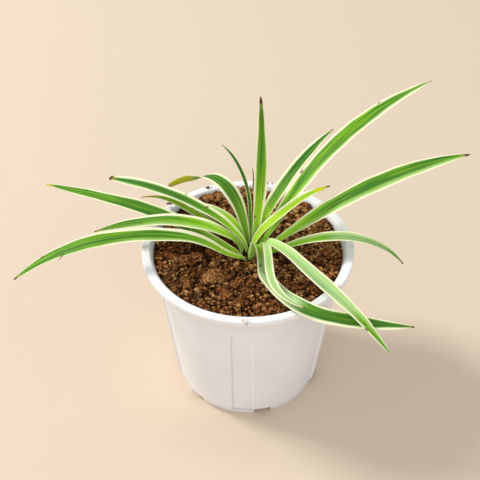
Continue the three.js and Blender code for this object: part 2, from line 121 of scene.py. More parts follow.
# Each leaf as in the solid model: width, share of it at the base, fold at base and tip, tip (power of the
# narrowing, share of the width left at the end), seat on the crown (angle, distance, height over the soil line)
# and course, whose rows are distance along the leaf, heading, rise and roll
LEAVES = {
    "leaf_back_upright": (9.7, 0.42, (30, 12), (4.5, 0.1), (82, 4.2, 3), (
        (0, 64, 76, 0), (30, 71, 75, 0), (60, 87, 74, 0), (109, 99, 69, 0))),
    "leaf_back_thin": (4.6, 0.6, (45, 35), (4.5, 0.1), (100, 9, 0), (
        (0, 95, 83, 60), (28, 107, 82, 60), (56, 121, 38, 60), (84, 124, -9, 60))),
    "leaf_back_arching": (14, 0.3, (40, 10), (2.6, 0.3), (126, 7.4, 0), (
        (0, 138, 84, 0), (32, 138, 64, 0), (46, 139, 38, 0), (56, 140, 6, -3), (66, 142, -22, -15),
        (75, 145, -31, -33), (84, 149, -32, -52), (107, 155, -44, -58))),
    "leaf_left_short": (9.5, 0.36, (45, 12), (4, 0.2), (145, 9, -1), (
        (0, 136, 80, 0), (8, 136, 72, 0), (24, 138, 12, 0), (40, 145, -6, 0), (82, 152, -27, 0))),
    "leaf_left_upper": (10.2, 0.4, (40, 12), (8, 0.42), (205, 5.6, 2), (
        (0, 150, 84, -8), (14, 151, 40, -8), (36, 151, 18, -4), (71, 153, 3, 3), (121, 161, -6, 5))),
    "leaf_left_narrow": (6.5, 0.42, (40, 20), (3.5, 0.1), (169, 7.4, -1), (
        (0, 159, 80, 0), (8, 157, 37, 0), (28, 153, 18, 0), (56, 152, 14, 0), (90, 158, -27, 0))),
    "leaf_left_straight": (14, 0.28, (40, 10), (4.2, 0.06), (215, 10.1, -2), (
        (0, 168, 60, 0), (10, 162, 23, 0), (46, 158, 16, 0), (94, 161, 2.7, 0), (155, 163, 0, 0))),
    "leaf_left_middle": (11.8, 0.34, (40, 8), (4.2, 0.06), (192, 8.5, -2), (
        (0, 170, 84, 0), (8, 170, 73, 0), (18, 172, 35, 0), (38, 172, 15, 10), (74, 176, -10, 10),
        (119, 181, -20, 10))),
    "leaf_left_longest": (11.8, 0.36, (45, 10), (7, 0.08), (238, 9.8, -1.5), (
        (0, 205, 55, 0), (8, 192, 24, 10), (24, 178, 40, 15), (54, 183, 10, 15), (108, 186, -10, 15),
        (177, 192, -39, 0))),
    "leaf_right_inner": (10.3, 0.33, (40, 10), (5, 0.06), (60, 6.6, 1), (
        (0, 58, 82, 0), (14, 54, 66, 0), (34, 51.5, 36, 0), (66, 49.5, 22, 0), (108, 49, 2, 0))),
    "leaf_right_tall": (14, 0.36, (40, 10), (6, 0.06), (28, 8.4, 0), (
        (0, 38, 80, 0), (20, 38, 50, 0), (56, 39, 38.5, 0), (110, 38, 17, 0), (182, 33, 1, 0))),
    "leaf_young_bright": (9, 0.48, (40, 20), (4.5, 0.06), (248, 3.9, 3), (
        (0, 32, 84, 0), (10, 26, 61, 0), (24, 23, 37, 0), (46, 24, 29, 0), (76, 18, 5, 0))),
    "leaf_young_folded": (6, 0.5, (60, 50), (4.5, 0.06), (6, 4.4, 3), (
        (0, 4, 82, 0), (6, 14, 54, 0), (22, 22, 52, 0), (34, 22, 42, 0))),
    "leaf_right_long": (15.4, 0.28, (45, 10), (6, 0.06), (-8, 9, -1), (
        (0, 14, 75, 0), (10, 15, 34, 0), (50, 17, 28, -4), (100, 19, 13.5, -7), (165, 19, -3, -7))),
    "leaf_right_arching": (10.4, 0.38, (45, 15), (5.5, 0.1), (-30, 10.2, -2), (
        (0, 0, 75, 0), (8, 0, 28, 0), (34, 1, 19, 0), (66, -3, -8, 0), (109, -10, -53, 0))),
    "leaf_front_right": (11, 0.48, (30, 10), (5, 0.06), (-38, 4.8, 2), (
        (0, -34, 84, 0), (10, -40, 59, 0), (20, -49, 18, 0), (43, -49, -7, 0), (85, -49, -8, 0), (139, -55, -19, 0))),
    "leaf_front_sweeping": (11.6, 0.28, (20, 8), (7, 0.06), (250, 8.6, -1), (
        (0, -56, 77, 50), (18, -56, 71, 50), (22, -60, 30, 34), (26, -64, -43, 28), (30, -64, -71, 28),
        (38.6, -62, -71, 20), (43.6, -70, -25, 10), (48.6, -67, 4, 0), (67.6, -59, 9, 0), (82.6, -46.5, 4, -8),
        (95.6, -30, -3, -16), (109.6, -12, -4, -22), (166.6, 7, -10, -25))),
    "leaf_front_short": (6.3, 0.56, (15, 8), (4.5, 0.06), (291, 11.6, 1), (
        (0, -48, 82, 58), (16, -48, 75, 58), (20, -60, 46, 30), (23.4, -80, 8, 10), (27.4, -84, -22, 0),
        (37.2, -84, -42, 0), (43.2, -84, -10, 0), (61.2, -66, 6, -5), (88.2, -30, 3, -10))),
}

# Finish of each leaf, in mm: cream margin left and right, pale strip beside it left and right, partly the leaf's own
# pale band and partly painted sheen, length of the dry tip, length of the faded end; and tone, from 0, deep bluish
# green, to 1, young yellow-green
LOOKS = {
    "leaf_back_upright": (1.35, 1.45, 0.5, 0.7, 5, 0, 0.46),
    "leaf_back_thin": (0.6, 0.4, 0.3, 0.4, 2, 0, 0.1),
    "leaf_back_arching": (2.2, 1.8, 1.0, 1.0, 1, 27, -0.05),
    "leaf_left_short": (2.3, 0.8, 1.8, 1.6, 7, 0, 0.5),
    "leaf_left_upper": (0.9, 2.1, 1.8, 1.0, 2.2, 0, 0.15),
    # leaf_left_narrow's light tone is partly its own colour and partly painted light against the shade of the leaf
    # above it
    "leaf_left_narrow": (0.9, 0.6, 1.2, 0.8, 1, 13, 0.95),
    "leaf_left_straight": (1.0, 1.3, 1.0, 1.4, -1, 6, 0.26),
    "leaf_left_middle": (0.9, 2.1, 3.2, 0.7, 2, 0, 0.42),
    "leaf_left_longest": (1.0, 2.3, 2.0, 0.5, 3, 0, 0.34),
    "leaf_right_inner": (1.9, 1.1, 0.6, 1.0, 1.5, 0, 0.14),
    "leaf_right_tall": (1.6, 1.7, 1.0, 2.0, 0.5, 0, 0.42),
    "leaf_young_bright": (1.3, 0.8, 1.2, 1.0, 2.5, 12, 0.95),
    "leaf_young_folded": (0.6, 0.6, 0.6, 0.6, 1, 0, 0.5),
    "leaf_right_long": (1.4, 1.5, 0.8, 4.6, 4, 0, 0.36),
    "leaf_right_arching": (1.5, 1.1, 2.4, 1.2, 3, 0, 0.35),
    "leaf_front_right": (1.3, 1.2, 3.4, 1.6, -1, 0, 0.45),
    "leaf_front_sweeping": (0.9, 1.7, 0.8, 1.0, 2, 0, 0.22),
    "leaf_front_short": (1.3, 1.2, 1.6, 1.4, 1.5, 0, 0.5),
}

# Leaves whose margins narrow before the tip: from and to in mm along the leaf, share left
NARROWER = {
    "leaf_left_longest": (88, 128, 0.35), "leaf_left_middle": (70, 105, 0.35), "leaf_left_straight": (90, 140, 0.5),
    "leaf_right_arching": (60, 95, 0.6), "leaf_right_long": (110, 155, 0.6), "leaf_front_right": (100, 130, 0.6),
}

# Stretches with a painted pale sheen, a painted highlight, or below 0 made darker: from and to in mm along the leaf,
# strength
SHEEN = {
    "leaf_back_arching": ((2, 50, -0.3),), "leaf_back_thin": ((10, 84, -0.6),), "leaf_left_short": ((34, 70, 0.55),),
    "leaf_left_upper": ((60, 100, -0.25),), "leaf_left_straight": ((50, 100, -0.25),),
    "leaf_left_middle": ((84, 119, -0.25),), "leaf_left_longest": ((66, 110, -0.2),),
    "leaf_right_inner": ((30, 80, -0.25),), "leaf_right_long": ((70, 110, -0.15),),
    "leaf_right_arching": ((50, 96, 0.35),), "leaf_front_right": ((14, 104, 0.48),),
    "leaf_front_sweeping": ((34, 88, 0.62), (100, 150, -0.45)), "leaf_front_short": ((16, 86, 0.5),),
}

# Brown spots: distance along the leaf, place across from -1 to 1, radius in mm
SPOTS = {
    "leaf_back_upright": ((21, -0.6, 0.8),), "leaf_left_upper": ((44, 0.55, 1.2), (62, 0.8, 0.5)),
    "leaf_left_straight": ((52, 0.8, 0.7),), "leaf_left_middle": ((84, -0.3, 0.9),),
    "leaf_left_longest": ((151, 0.93, 1.2), (136, -0.9, 0.9)),
    "leaf_right_tall": ((137, -0.97, 1.3), (61, -0.92, 1.3), (64, -0.7, 0.7)),
    "leaf_front_right": ((117, 0.9, 1.3), (113, 0.1, 0.7)), "leaf_front_sweeping": ((39, 0.35, 1.4),),
}

# Dry threads, each a bent taper: name, start, bend, end, radius at the start
THREADS = (
    ("dry_stalk", (3.6, 59.5, 116), (5.2, 61, 131), (3.4, 62.5, 142.5), 0.95),
    ("torn_thread", (-125.6, -23.6, 134.9), (-127.4, -24.9, 132), (-130.8, -25.6, 129.6), 0.42),
)

# Big clods on the soil: x, y, radius, height over the soil around them; and how light and dry, from 0 to 1
CLODS = (
    (-24.5, -31.5, 8.5, 4.5, 0.85), (-31.5, 53.5, 5.4, 3.4, 0.15), (-22.5, 56.5, 5, 3.4, 0.15),
    (-16.5, 50.5, 5, 2.6, 0.9), (-5.5, 60, 5.6, 4.2, 0.1), (-2.5, 54.5, 4.6, 2.8, 0.6), (-0.5, 47, 4.2, 2, 0.7),
    (-46, 45, 5.5, 3, 0.3), (53.5, 27.5, 7, 3.2, 0.5), (48.5, 19.5, 3.6, 2, 0.7), (41, 47, 6, 2.6, 0.6),
    (57, 13, 4.6, 2.4, 0.5), (-44, -12, 6, 2.8, 0.45), (-34, -10, 4.5, 2.8, 0.6), (-25, -4, 4.6, 2.6, 0.55),
    (-7, -36, 6, 2.4, 0.4), (36, -12, 6, 2.2, 0.45), (-16, -45, 6.5, 2.8, 0.6), (-5, -53, 5, 2.4, 0.2),
    (56, -2, 4.8, 2.4, 0.5),
)

# Loose lumps by size: piece, fineness of its ball or 0 for a rough cube, radius from and to, seed
LUMP_SIZES = (("soil_lumps", 0, 0, 1.9, 6), ("soil_nuggets", 2, 1.9, 2.9, 8), ("soil_cobs", 3, 2.9, 9, 9))

# Crumbs fallen on the rim: x, y, height over the rim's top, radius
FALLEN = (
    (-29.6, 65.6, 0.5, 1.0), (-27.4, 66.4, 0.35, 0.7), (-31.6, 65.9, 0.25, 0.5), (15.2, 70.6, 0.35, 0.7),
    (18.6, 70.9, 0.25, 0.5), (12.6, 71.2, 0.2, 0.4), (-1.4, -75.0, -1.4, 0.55), (-3.4, -72.6, 0.1, 0.3),
)


def colour_of(name, use, default):
    return bpy.props.FloatVectorProperty(name=name, description=f"Colour of {use}", default=default, subtype="COLOR")


def power_of(name, default):
    return bpy.props.FloatProperty(name=name, description=f"Power of the {name.lower()}", default=default, unit="POWER")


def length_of(name, use, default):
    return bpy.props.FloatProperty(name=name, description=use, default=default, unit="LENGTH")


def count_of(name, use, default, least=0):
    return bpy.props.IntProperty(name=name, description=use, default=default, min=least)


class PotSettings(bpy.types.PropertyGroup):
    """Sizes and colours of the pot."""

    sectors: count_of("Sectors", "Faces round the pot, beside those at the flutes' edges", 330, least=90)
    flute_depth: length_of("Flute depth", "Depth of the arched flutes in the wall", 1.0 * MM)
    colour: colour_of("Colour", "the moulded plastic", (0.87, 0.875, 0.91))
    # Rim and lip: lighter colours of the same white plastic, painted light
    rim: colour_of("Rim", "the rim's flat top", (0.91, 0.91, 0.915))
    lip: colour_of("Lip", "the turned-down lip", (0.9, 0.91, 0.935))
    dust: colour_of("Dust", "the soil dust on the rim", (0.42, 0.3, 0.2))


class SoilSettings(bpy.types.PropertyGroup):
    """Crumbs and colours of the soil."""

    crumbs: count_of("Crumbs", "Number of loose crumbs on the soil", 2700)
    pebbles: count_of("Lumps", "Number of larger loose lumps", 330)
    # Dark: the darkest soil's own colour, and, darkened further, painted shade in hollows, under crumbs and in gaps
    dark: colour_of("Dark", "the hollows", (0.014, 0.0045, 0.002))
    middle: colour_of("Middle", "most crumbs", (0.54, 0.19, 0.048))
    # Light: the driest crumbs' colour, laid only on raised tops as painted light
    light: colour_of("Light", "the driest crumbs", (0.98, 0.58, 0.22))


class LeafSettings(bpy.types.PropertyGroup):
    """Colours and fineness of the leaves."""

    step: length_of("Step", "Distance between rows along a leaf", 1.5 * MM)
    deep: colour_of("Deep green", "the darkest leaves", (0.018, 0.155, 0.018))
    bright: colour_of("Bright green", "young leaves and leaf bases", (0.3, 0.63, 0.008))
    pale: colour_of("Pale green", "the strip beside the margin", (0.52, 0.74, 0.27))
    cream: colour_of("Cream", "the margins", (0.96, 0.93, 0.64))
    dry: colour_of("Dry brown", "dry tips and spots", (0.13, 0.055, 0.02))


class StageSettings(bpy.types.PropertyGroup):
    """Floor, light and camera."""

    floor: colour_of("Floor", "the floor", (0.72, 0.6, 0.47))
    key: power_of("Key light", 60.0)
    fill: power_of("Fill light", 10.5)
    side: power_of("Side light", 3.0)
    sky: bpy.props.FloatProperty(name="Sky", description="Strength of the even light from all round", default=0.62)
    lens: bpy.props.FloatProperty(name="Lens", description="Camera's focal length in mm", default=82.5)
    elevation: bpy.props.FloatProperty(
        name="Elevation", description="Camera's height angle", default=math.radians(41.5), subtype="ANGLE")
    distance: length_of("Distance", "Camera's distance from its target", 0.772)


def arithmetic(operation, swapped=False):
    """A method that adds a Math node on the value and another, which comes first where swapped."""
    return lambda shade, other: shade.math(operation, *((other, shade) if swapped else (shade, other)))


class Shade:
    """One output of a shader node. Arithmetic on it adds Math nodes to the same finish."""

    def __init__(self, finish, socket):
        self.finish = finish
        self.socket = socket

    def math(self, operation, *values):
        return self.finish.add("ShaderNodeMath", {"operation": operation}, values)

    __add__ = __radd__ = arithmetic("ADD")
    __mul__ = __rmul__ = arithmetic("MULTIPLY")
    __sub__, __rsub__ = arithmetic("SUBTRACT"), arithmetic("SUBTRACT", swapped=True)
    __truediv__ = arithmetic("DIVIDE")

    def absolute(self):
        return self.math("ABSOLUTE", self)

    def sine(self):
        return self.math("SINE", self)

    def step(self, low, high):
        """Rises smoothly from 0 where the value is low to 1 where it is high."""
        return self.finish.add(
            "ShaderNodeMapRange",
            {"interpolation_type": "SMOOTHSTEP"},
            {"Value": self, "From Min": low, "From Max": high},
        )


class Finish:
    """A material and its node tree."""

    def __init__(self, name):
        self.material = bpy.data.materials.new(name)
        self.material.use_nodes = True
        self.tree = self.material.node_tree
        self.tree.nodes.clear()

    def add(self, kind, settings=None, inputs=(), output=0):
        """Adds a node with its settings, gives its sockets values or links, and returns one output if asked."""
        node = self.tree.nodes.new(kind)
        for key, value in (settings or {}).items():
            setattr(node, key, value)
        pairs = inputs.items() if isinstance(inputs, dict) else enumerate(inputs)
        for key, value in pairs:
            if isinstance(value, Shade):
                self.tree.links.new(value.socket, node.inputs[key])
            else:
                node.inputs[key].default_value = value
        return None if output is None else Shade(self, node.outputs[output])

    def attribute(self, name):
        return self.add("ShaderNodeAttribute", {"attribute_name": name}, output="Fac")

    def place(self):
        return self.add("ShaderNodeTexCoord", output="Object")

    def height(self):
        return self.add("ShaderNodeSeparateXYZ", inputs=(self.place(),), output="Z")

    def vector(self, x, y, z):
        return self.add("ShaderNodeCombineXYZ", inputs=(x, y, z))

    def moved(self, vector, offset):
        return self.add("ShaderNodeVectorMath", {"operation": "ADD"}, (vector, offset))

    def noise(self, vector, scale, detail=3.0, roughness=0.5):
        """Cloudy noise from 0 to 1, with scale clouds to the metre in object space."""
        values = {"Vector": vector, "Scale": scale, "Detail": detail, "Roughness": roughness}
        return self.add("ShaderNodeTexNoise", inputs=values)

    def packed(self, vector, scale):
        """Distance from the joints between packed crumbs, 0 in a joint and about 0.5 in a crumb's middle."""
        settings = {"feature": "DISTANCE_TO_EDGE"}
        return self.add("ShaderNodeTexVoronoi", settings, {"Vector": vector, "Scale": scale, "Randomness": 1.0})

    def mix(self, factor, low, high):
        """The colour low where the factor is 0 and high where it is 1."""
        low, high = (value if isinstance(value, Shade) else (*value, 1.0) for value in (low, high))
        return self.add("ShaderNodeMix", {"data_type": "RGBA"}, {0: factor, 6: low, 7: high}, 2)

    def layers(self, colour, *layers):
        """Lays colours one over another on the first, each by its own amount from 0 to 1."""
        for amount, over in layers:
            colour = self.mix(amount, colour, over)
        return colour

    def bump(self, height, distance, strength=1.0):
        return self.add("ShaderNodeBump", inputs={"Height": height, "Distance": distance, "Strength": strength})

    def surface(self, **sockets):
        """Ends the tree in a Principled BSDF; an underscore in a socket's name stands for a space."""
        values = {key.replace("_", " "): value for key, value in sockets.items()}
        shader = self.add("ShaderNodeBsdfPrincipled", inputs=values)
        self.add("ShaderNodeOutputMaterial", inputs={"Surface": shader}, output=None)
        return self.material


def darkened(colour, share):
    return [channel * share for channel in colour]


def placed(name, data):
    """A new object in the scene."""
    thing = bpy.data.objects.new(name, data)
    bpy.context.scene.collection.objects.link(thing)
    return thing


def new_piece(name, points, faces, material, nodes=(), values=None, soft=True):
    """A mesh object from points in mm, arrays of faces and named values at the points."""
    mesh = bpy.data.meshes.new(name)
    mesh.vertices.add(len(points))
    mesh.vertices.foreach_set("co", (np.asarray(points) * MM).astype(np.float32).ravel())
    corners = np.concatenate([part.ravel() for part in faces]).astype(np.int32)
    sizes = np.concatenate([np.full(len(part), part.shape[1]) for part in faces])
    starts = np.concatenate([[0], np.cumsum(sizes)[:-1]]).astype(np.int32)
    mesh.loops.add(len(corners))
    mesh.loops.foreach_set("vertex_index", corners)
    mesh.polygons.add(len(sizes))
    mesh.polygons.foreach_set("loop_start", starts)
    mesh.polygons.foreach_set("use_smooth", np.full(len(sizes), soft))
    mesh.update(calc_edges=True)
    for key, value in (values or {}).items():
        layer = mesh.attributes.new(key, "FLOAT", "POINT")
        layer.data.foreach_set("value", np.broadcast_to(value, len(points)).astype(np.float32))
    mesh.materials.append(material)
    piece = placed(name, mesh)
    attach(piece, "root")
    if nodes:
        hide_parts(*nodes)


def grid_faces(rows, columns, closed):
    """Quads of a grid of points, rows by columns, joined round where closed."""
    i = np.arange(rows - 1)[:, None] * columns
    j = np.arange(columns if closed else columns - 1)[None]
    k = (j + 1) % columns
    corners = (i + j, i + k, i + columns + k, i + columns + j)
    return np.stack([corner.ravel() for corner in corners], 1)


def turned(points):
    """Points and faces of a turned body, whose first and last rows are drawn together to single points."""
    body = points[1:-1]
    rows, columns = body.shape[:2]
    joined = np.concatenate([points[0, :1], body.reshape(-1, 3), points[-1, :1]])
    j = np.arange(columns)
    k = (j + 1) % columns
    last = 1 + (rows - 1) * columns
    first_fan = np.stack([0 * j, 1 + k, 1 + j], 1)
    last_fan = np.stack([0 * j + len(joined) - 1, last + j, last + k], 1)
    return joined, [grid_faces(rows, columns, True) + 1, first_fan, last_fan]


def chance(n):
    """A repeatable random number from 0 to 1 for each n: the part after the point of a large sine."""
    value = np.sin(np.asarray(n, float) * 12.9898) * 43758.5453
    return value - np.floor(value)


def draws(n, count):
    return [chance(n + offset) for offset in DRAW_OFFSETS[:count]]


def dome(away):
    """Height of a ball of radius 1 at a distance from its middle, and 0 outside it."""
    return np.sqrt(np.clip(1 - away**2, 0, 1))


def rotated(x, y, angle):
    return x * np.cos(angle) - y * np.sin(angle), x * np.sin(angle) + y * np.cos(angle)


def smooth(value, low, high):
    """0 below low, 1 above high, and an S-curve between, 3t squared minus 2t cubed."""
    t = np.clip((value - low) / (high - low), 0, 1)
    return t * t * (3 - 2 * t)


def polar(radius, angle, *others):
    """Points at a distance and angle from the pot's axis: x and y, and the other values that are given."""
    return np.stack(np.broadcast_arrays(radius * np.cos(angle), radius * np.sin(angle), *others), -1)


def curved(t, start, bend, end):
    """Points at t from 0 to 1 on the parabola from start to end whose end tangents meet at bend."""
    return (1 - t) ** 2 * start + 2 * t * (1 - t) * bend + t**2 * end


def wall_radius(z):
    return WALL_RADIUS_AT_ZERO + WALL_SLOPE * z


def rounded(corners, radius, steps=5):
    """A profile whose corners are rounded: each becomes a short parabola between points radius from it."""
    corners = np.array(corners, float)
    here = corners[1:-1]
    ends = []
    for side in (corners[:-2] - here, corners[2:] - here):
        room = np.linalg.norm(side, axis=1, keepdims=True)
        ends.append(here + side / room * np.minimum(radius, room * 0.45))
    t = np.linspace(0, 1, steps)[None, :, None]
    curve = curved(t, ends[0][:, None], here[:, None], ends[1][:, None])
    return np.concatenate([corners[:1], curve.reshape(-1, 2), corners[-1:]])


def pot_profile():
    """The pot's section from the middle of its underside, up the outside and down the inside to its floor."""
    roof = POT_HEIGHT - LIP_THICKNESS
    step_top = BAND_BOTTOM + 0.9
    foot_inside = FOOT_RADIUS - FOOT_THICKNESS
    lip_inside = RIM_RADIUS - LIP_THICKNESS
    band = BAND_STEP - BAND_THICKNESS
    under = rounded([
        (0, 0), (GATE_RADIUS, 0), (GATE_RADIUS + 0.8, FLOOR_UNDERSIDE), (foot_inside, FLOOR_UNDERSIDE),
        (foot_inside, 0), (FOOT_RADIUS - 0.2, 0), (FOOT_RADIUS, FOOT_HEIGHT),
        (wall_radius(FOOT_HEIGHT) - 0.5, FOOT_HEIGHT), (wall_radius(6.9), 6.9), (wall_radius(8), 8)], 0.5, 4)
    heights = np.concatenate([np.linspace(9, 93, 22), np.linspace(94, WALL_TOP - 0.4, 24)])
    wall = np.stack([wall_radius(heights), heights], 1)
    rest = rounded([
        (wall_radius(WALL_TOP), WALL_TOP), (wall_radius(BAND_BOTTOM), BAND_BOTTOM),
        (wall_radius(BAND_BOTTOM) + BAND_STEP, step_top), (wall_radius(109) + BAND_STEP, 109),
        (wall_radius(LIP_BOTTOM) + BAND_STEP, LIP_BOTTOM), (wall_radius(roof) + BAND_STEP + 0.4, roof),
        (lip_inside, roof), (lip_inside, LIP_BOTTOM), (RIM_RADIUS - 0.2, LIP_BOTTOM),
        (RIM_RADIUS, POT_HEIGHT - 0.9), (RIM_RADIUS - 0.7, POT_HEIGHT), (RIM_RADIUS - 2.5, POT_HEIGHT),
        (RIM_INNER_RADIUS + 0.8, POT_HEIGHT), (RIM_INNER_RADIUS, POT_HEIGHT - 0.3),
        (RIM_INNER_RADIUS - 1.6, POT_HEIGHT - 2.4), (wall_radius(LIP_BOTTOM) + band, LIP_BOTTOM),
        (wall_radius(BAND_BOTTOM + 3) + band, BAND_BOTTOM + 3),
        (wall_radius(BAND_BOTTOM - 1) - WALL_THICKNESS, BAND_BOTTOM - 1),
        (wall_radius(FLOOR_TOP + 1.2) - WALL_THICKNESS, FLOOR_TOP + 1.2),
        (wall_radius(FLOOR_TOP) - WALL_THICKNESS - 1.2, FLOOR_TOP), (0, FLOOR_TOP)], 0.55, 5)
    return np.concatenate([under[:-1], wall, rest])


def pot_angles(sectors):
    """Angles round the pot, evenly spread, with many more along the edges of the flutes and of the notches."""
    radii = np.array([wall_radius(0) - 1, wall_radius(FLUTE_TOP)])
    wide, narrow = np.degrees(np.arcsin(FLUTE_HALF_WIDTH / radii))
    fine = np.arange(narrow - 1.1, wide + 1.1, 0.2)
    plain = np.linspace(-180 / FLUTE_COUNT, 180 / FLUTE_COUNT, sectors // FLUTE_COUNT, endpoint=False)
    plain = plain[(np.abs(plain) < fine[0]) | (np.abs(plain) > fine[-1])]
    notch = math.degrees(math.asin(NOTCH_WIDTH / 2 / FOOT_RADIUS)) + np.array([-0.05, 0.05])
    middle = NOTCH_FIRST - FLUTE_FIRST
    share = np.unique(np.concatenate([plain, fine, -fine, middle + notch, middle - notch]).round(3))
    around = (FLUTE_FIRST + share[None] + 360 / FLUTE_COUNT * np.arange(FLUTE_COUNT)[:, None]).ravel()
    return np.radians(np.sort(around % 360))


def from_nearest(angle, first):
    """The angle from the nearest of the evenly spaced flutes or notches, of which one is at first degrees."""
    share = 2 * np.pi / FLUTE_COUNT
    return (angle - np.radians(first) + share / 2) % share - share / 2


def pot_surface(settings):
    """The section turned round its axis. The wall sinks by the flute depth inside each arched panel, where the
    sideways distance is under the half-width and the height is under an elliptical arch; the foot ring's
    underside rises to the notch height inside each notch. Also gives how much each point lies on a flute's left
    edge or arch top, seen from outside, which the finish paints in shade, or on its right edge, painted as a highlight."""
    profile = pot_profile()
    angle = pot_angles(settings.sectors)[None]
    radius = np.repeat(profile[:, :1], angle.size, 1)
    height = np.repeat(profile[:, 1:], angle.size, 1)
    across = radius * np.sin(from_nearest(angle, FLUTE_FIRST))
    arch = FLUTE_TOP - FLUTE_ARCH * (1 - dome(across / FLUTE_HALF_WIDTH))
    inside = smooth(np.abs(across), FLUTE_HALF_WIDTH + 0.9, FLUTE_HALF_WIDTH - 0.7)
    inside = inside * smooth(height, arch + 0.45, arch - 0.75)
    outer = (radius > wall_radius(height) - 0.8) & (height > FOOT_HEIGHT - 0.5) & (height < WALL_TOP)
    border = 4 * inside * (1 - inside) * outer
    # The border split into the side that gets painted shade, the left edge and arch top, and the side that gets a
    # painted highlight, the right edge
    crease, catch = border * smooth(across, 6.4, 4.6), border * smooth(across, 5.4, 6.6)
    radius = radius - settings.flute_depth / MM * inside * outer
    beside = np.abs(FOOT_RADIUS * np.sin(from_nearest(angle, NOTCH_FIRST)))
    in_notch = (beside < NOTCH_WIDTH / 2) & (radius > FOOT_RADIUS - 2.4) & (height < NOTCH_HEIGHT)
    height = np.where(in_notch, NOTCH_HEIGHT, height)
    points, faces = turned(polar(radius, angle, height))
    values = {"crease": crease, "catch": catch}
    return points, faces, {key: np.concatenate([[0], value[1:-1].ravel(), [0]]) for key, value in values.items()}


def pot_finish(settings):
    """White moulded plastic, a little uneven, with painted light on the rim's top and the lip, painted shade under the
    lip and over the foot, painted shade and painted highlights on the flutes' edges, faint soil dust near the rim and
    small dark specks."""
    finish = Finish("pot_plastic")
    place, height = finish.place(), finish.height()
    cloud = finish.noise(place, 28.0, 3.0)
    fine = finish.noise(place, 420.0, 4.0, 0.6)
    smear = finish.noise(place, 90.0, 5.0, 0.65)

    def rises(low, high):
        return height.step(low * MM, high * MM)

    dust = smear.step(0.58, 0.74) * rises(100, 119.5) * 0.55 + smear.step(0.66, 0.8) * 0.1
    speck = finish.noise(place, 260.0, 2.0, 0.4).step(0.74, 0.78) * smear.step(0.5, 0.62)
    # Painted shade: a darker band on the wall under the lip's overhang
    painted_shade_under_lip = rises(LIP_BOTTOM - 4.6, LIP_BOTTOM - 0.1) * rises(LIP_BOTTOM + 0.3, LIP_BOTTOM)
    # Painted shade: a darker line on the wall just over the foot's step
    painted_shade_over_foot = rises(FOOT_HEIGHT - 0.5, FOOT_HEIGHT + 0.1) * rises(FOOT_HEIGHT + 1.1, FOOT_HEIGHT + 0.4)
    tone = finish.layers(
        settings.colour,
        (cloud.step(0.3, 0.7), darkened(settings.colour, 0.955)),
        # Painted light: the rim's flat top is painted lighter than the wall
        (rises(POT_HEIGHT - 0.8, POT_HEIGHT - 0.1), settings.rim),
        # Painted light: the lip and all above its bottom edge are painted lighter and bluer than the wall
        (rises(LIP_BOTTOM - 0.1, LIP_BOTTOM + 0.3) * 0.6, settings.lip),
        # Painted shade under the lip
        (painted_shade_under_lip * 0.3, (0.42, 0.37, 0.33)),
        # Painted shade over the foot's step and on the flutes' left edges and arch tops
        (painted_shade_over_foot * 0.22 + finish.attribute("crease") * 0.42, darkened(settings.colour, 0.5)),
        # Painted highlight on the flutes' right edges
        (finish.attribute("catch") * 0.7, (0.98, 0.98, 0.98)),
        (dust, settings.dust),
        (speck * 0.6, (0.12, 0.09, 0.07)),
    )
    return finish.surface(
        Base_Color=tone, Roughness=0.36 + cloud * 0.12 + dust * 0.3, IOR=1.49,
        Normal=finish.bump(cloud * 0.7 + fine * 0.3, 0.00012, 0.5),
        Subsurface_Weight=0.08, Subsurface_Radius=(1.0, 0.95, 0.9), Subsurface_Scale=0.002)


def soil_edge(angle):
    return SOIL_EDGE + SOIL_BACK_RISE * np.maximum(0, np.sin(angle)) ** 2


def lumps():
    """Smaller lumps, spread evenly over the disc by the golden angle: x, y, radius, height."""
    i = np.arange(LUMP_COUNT)
    reach = 62 * np.sqrt((i + 0.5) / LUMP_COUNT)
    angle = i * GOLDEN_ANGLE + 0.5 * chance(i + 1)
    return polar(reach, angle, 3.4 + 2.2 * chance(i + 201), 1 + 1.7 * chance(i + 401))


def soil_height(x, y, reach=SOIL_REACH):
    """A low dome that rises towards the back and dips round the crown, plus the highest of the half-ellipsoid
    bumps of clods and lumps, faded out round the crown and at the wall."""
    out = np.hypot(x, y) / reach
    base = SOIL_LINE + (soil_edge(np.arctan2(y, x)) - SOIL_LINE) * out**2
    base = base + 0.4 * np.sin(x / 6 + 1) * np.cos(y / 7)
    bump = np.zeros_like(base)
    for cx, cy, radius, height in np.concatenate([np.array(CLODS)[:, :4], lumps()]):
        bump = np.maximum(bump, height * dome(np.hypot(x - cx, y - cy) / radius))
    from_crown = np.hypot(x - CROWN_X, y - CROWN_Y)
    share = smooth(from_crown, 15.5, 20) * (1 - smooth(out, 0.94, 1))
    return base + bump * share - (1 - smooth(from_crown, 8, 15))


def grains(x, y, cell, seed):
    """Crumbs packed in square cells: each is a tilted dome with a stretched outline at a chance place in its
    cell, and the highest of the nine nearest counts. Gives its height, in cells, and its own tint."""
    i, j = np.floor(x / cell), np.floor(y / cell)
    best, tint = np.full_like(x, GRAIN_HOLLOW), np.zeros_like(x)
    for di, dj in np.ndindex(3, 3):
        di, dj = di - 1, dj - 1
        n = (i + di) * CELL_SEEDS[0] + (j + dj) * CELL_SEEDS[1] + seed
        right, back, size, stretch, raised, own, turn, tilt = draws(n, 8)
        dx, dy = x / cell - i - di - 0.15 - 0.7 * right, y / cell - j - dj - 0.15 - 0.7 * back
        along, across = rotated(dx, dy, -FULL_TURN * turn)
        away = (np.abs(along) ** 3 * (0.4 + stretch) + np.abs(across) ** 3) ** (1 / 3) / (0.42 + 0.3 * size)
        height = 0.1 + 0.45 * raised + 0.42 * dome(away) + 0.7 * (tilt - 0.3) * along
        height = np.where(away < 1, height, GRAIN_HOLLOW)
        tint = np.where(height > best, own, tint)
        best = np.maximum(best, height)
    return best, tint


def weighted(shares, layers):
    return sum(share * layer for share, layer in zip(shares, layers))


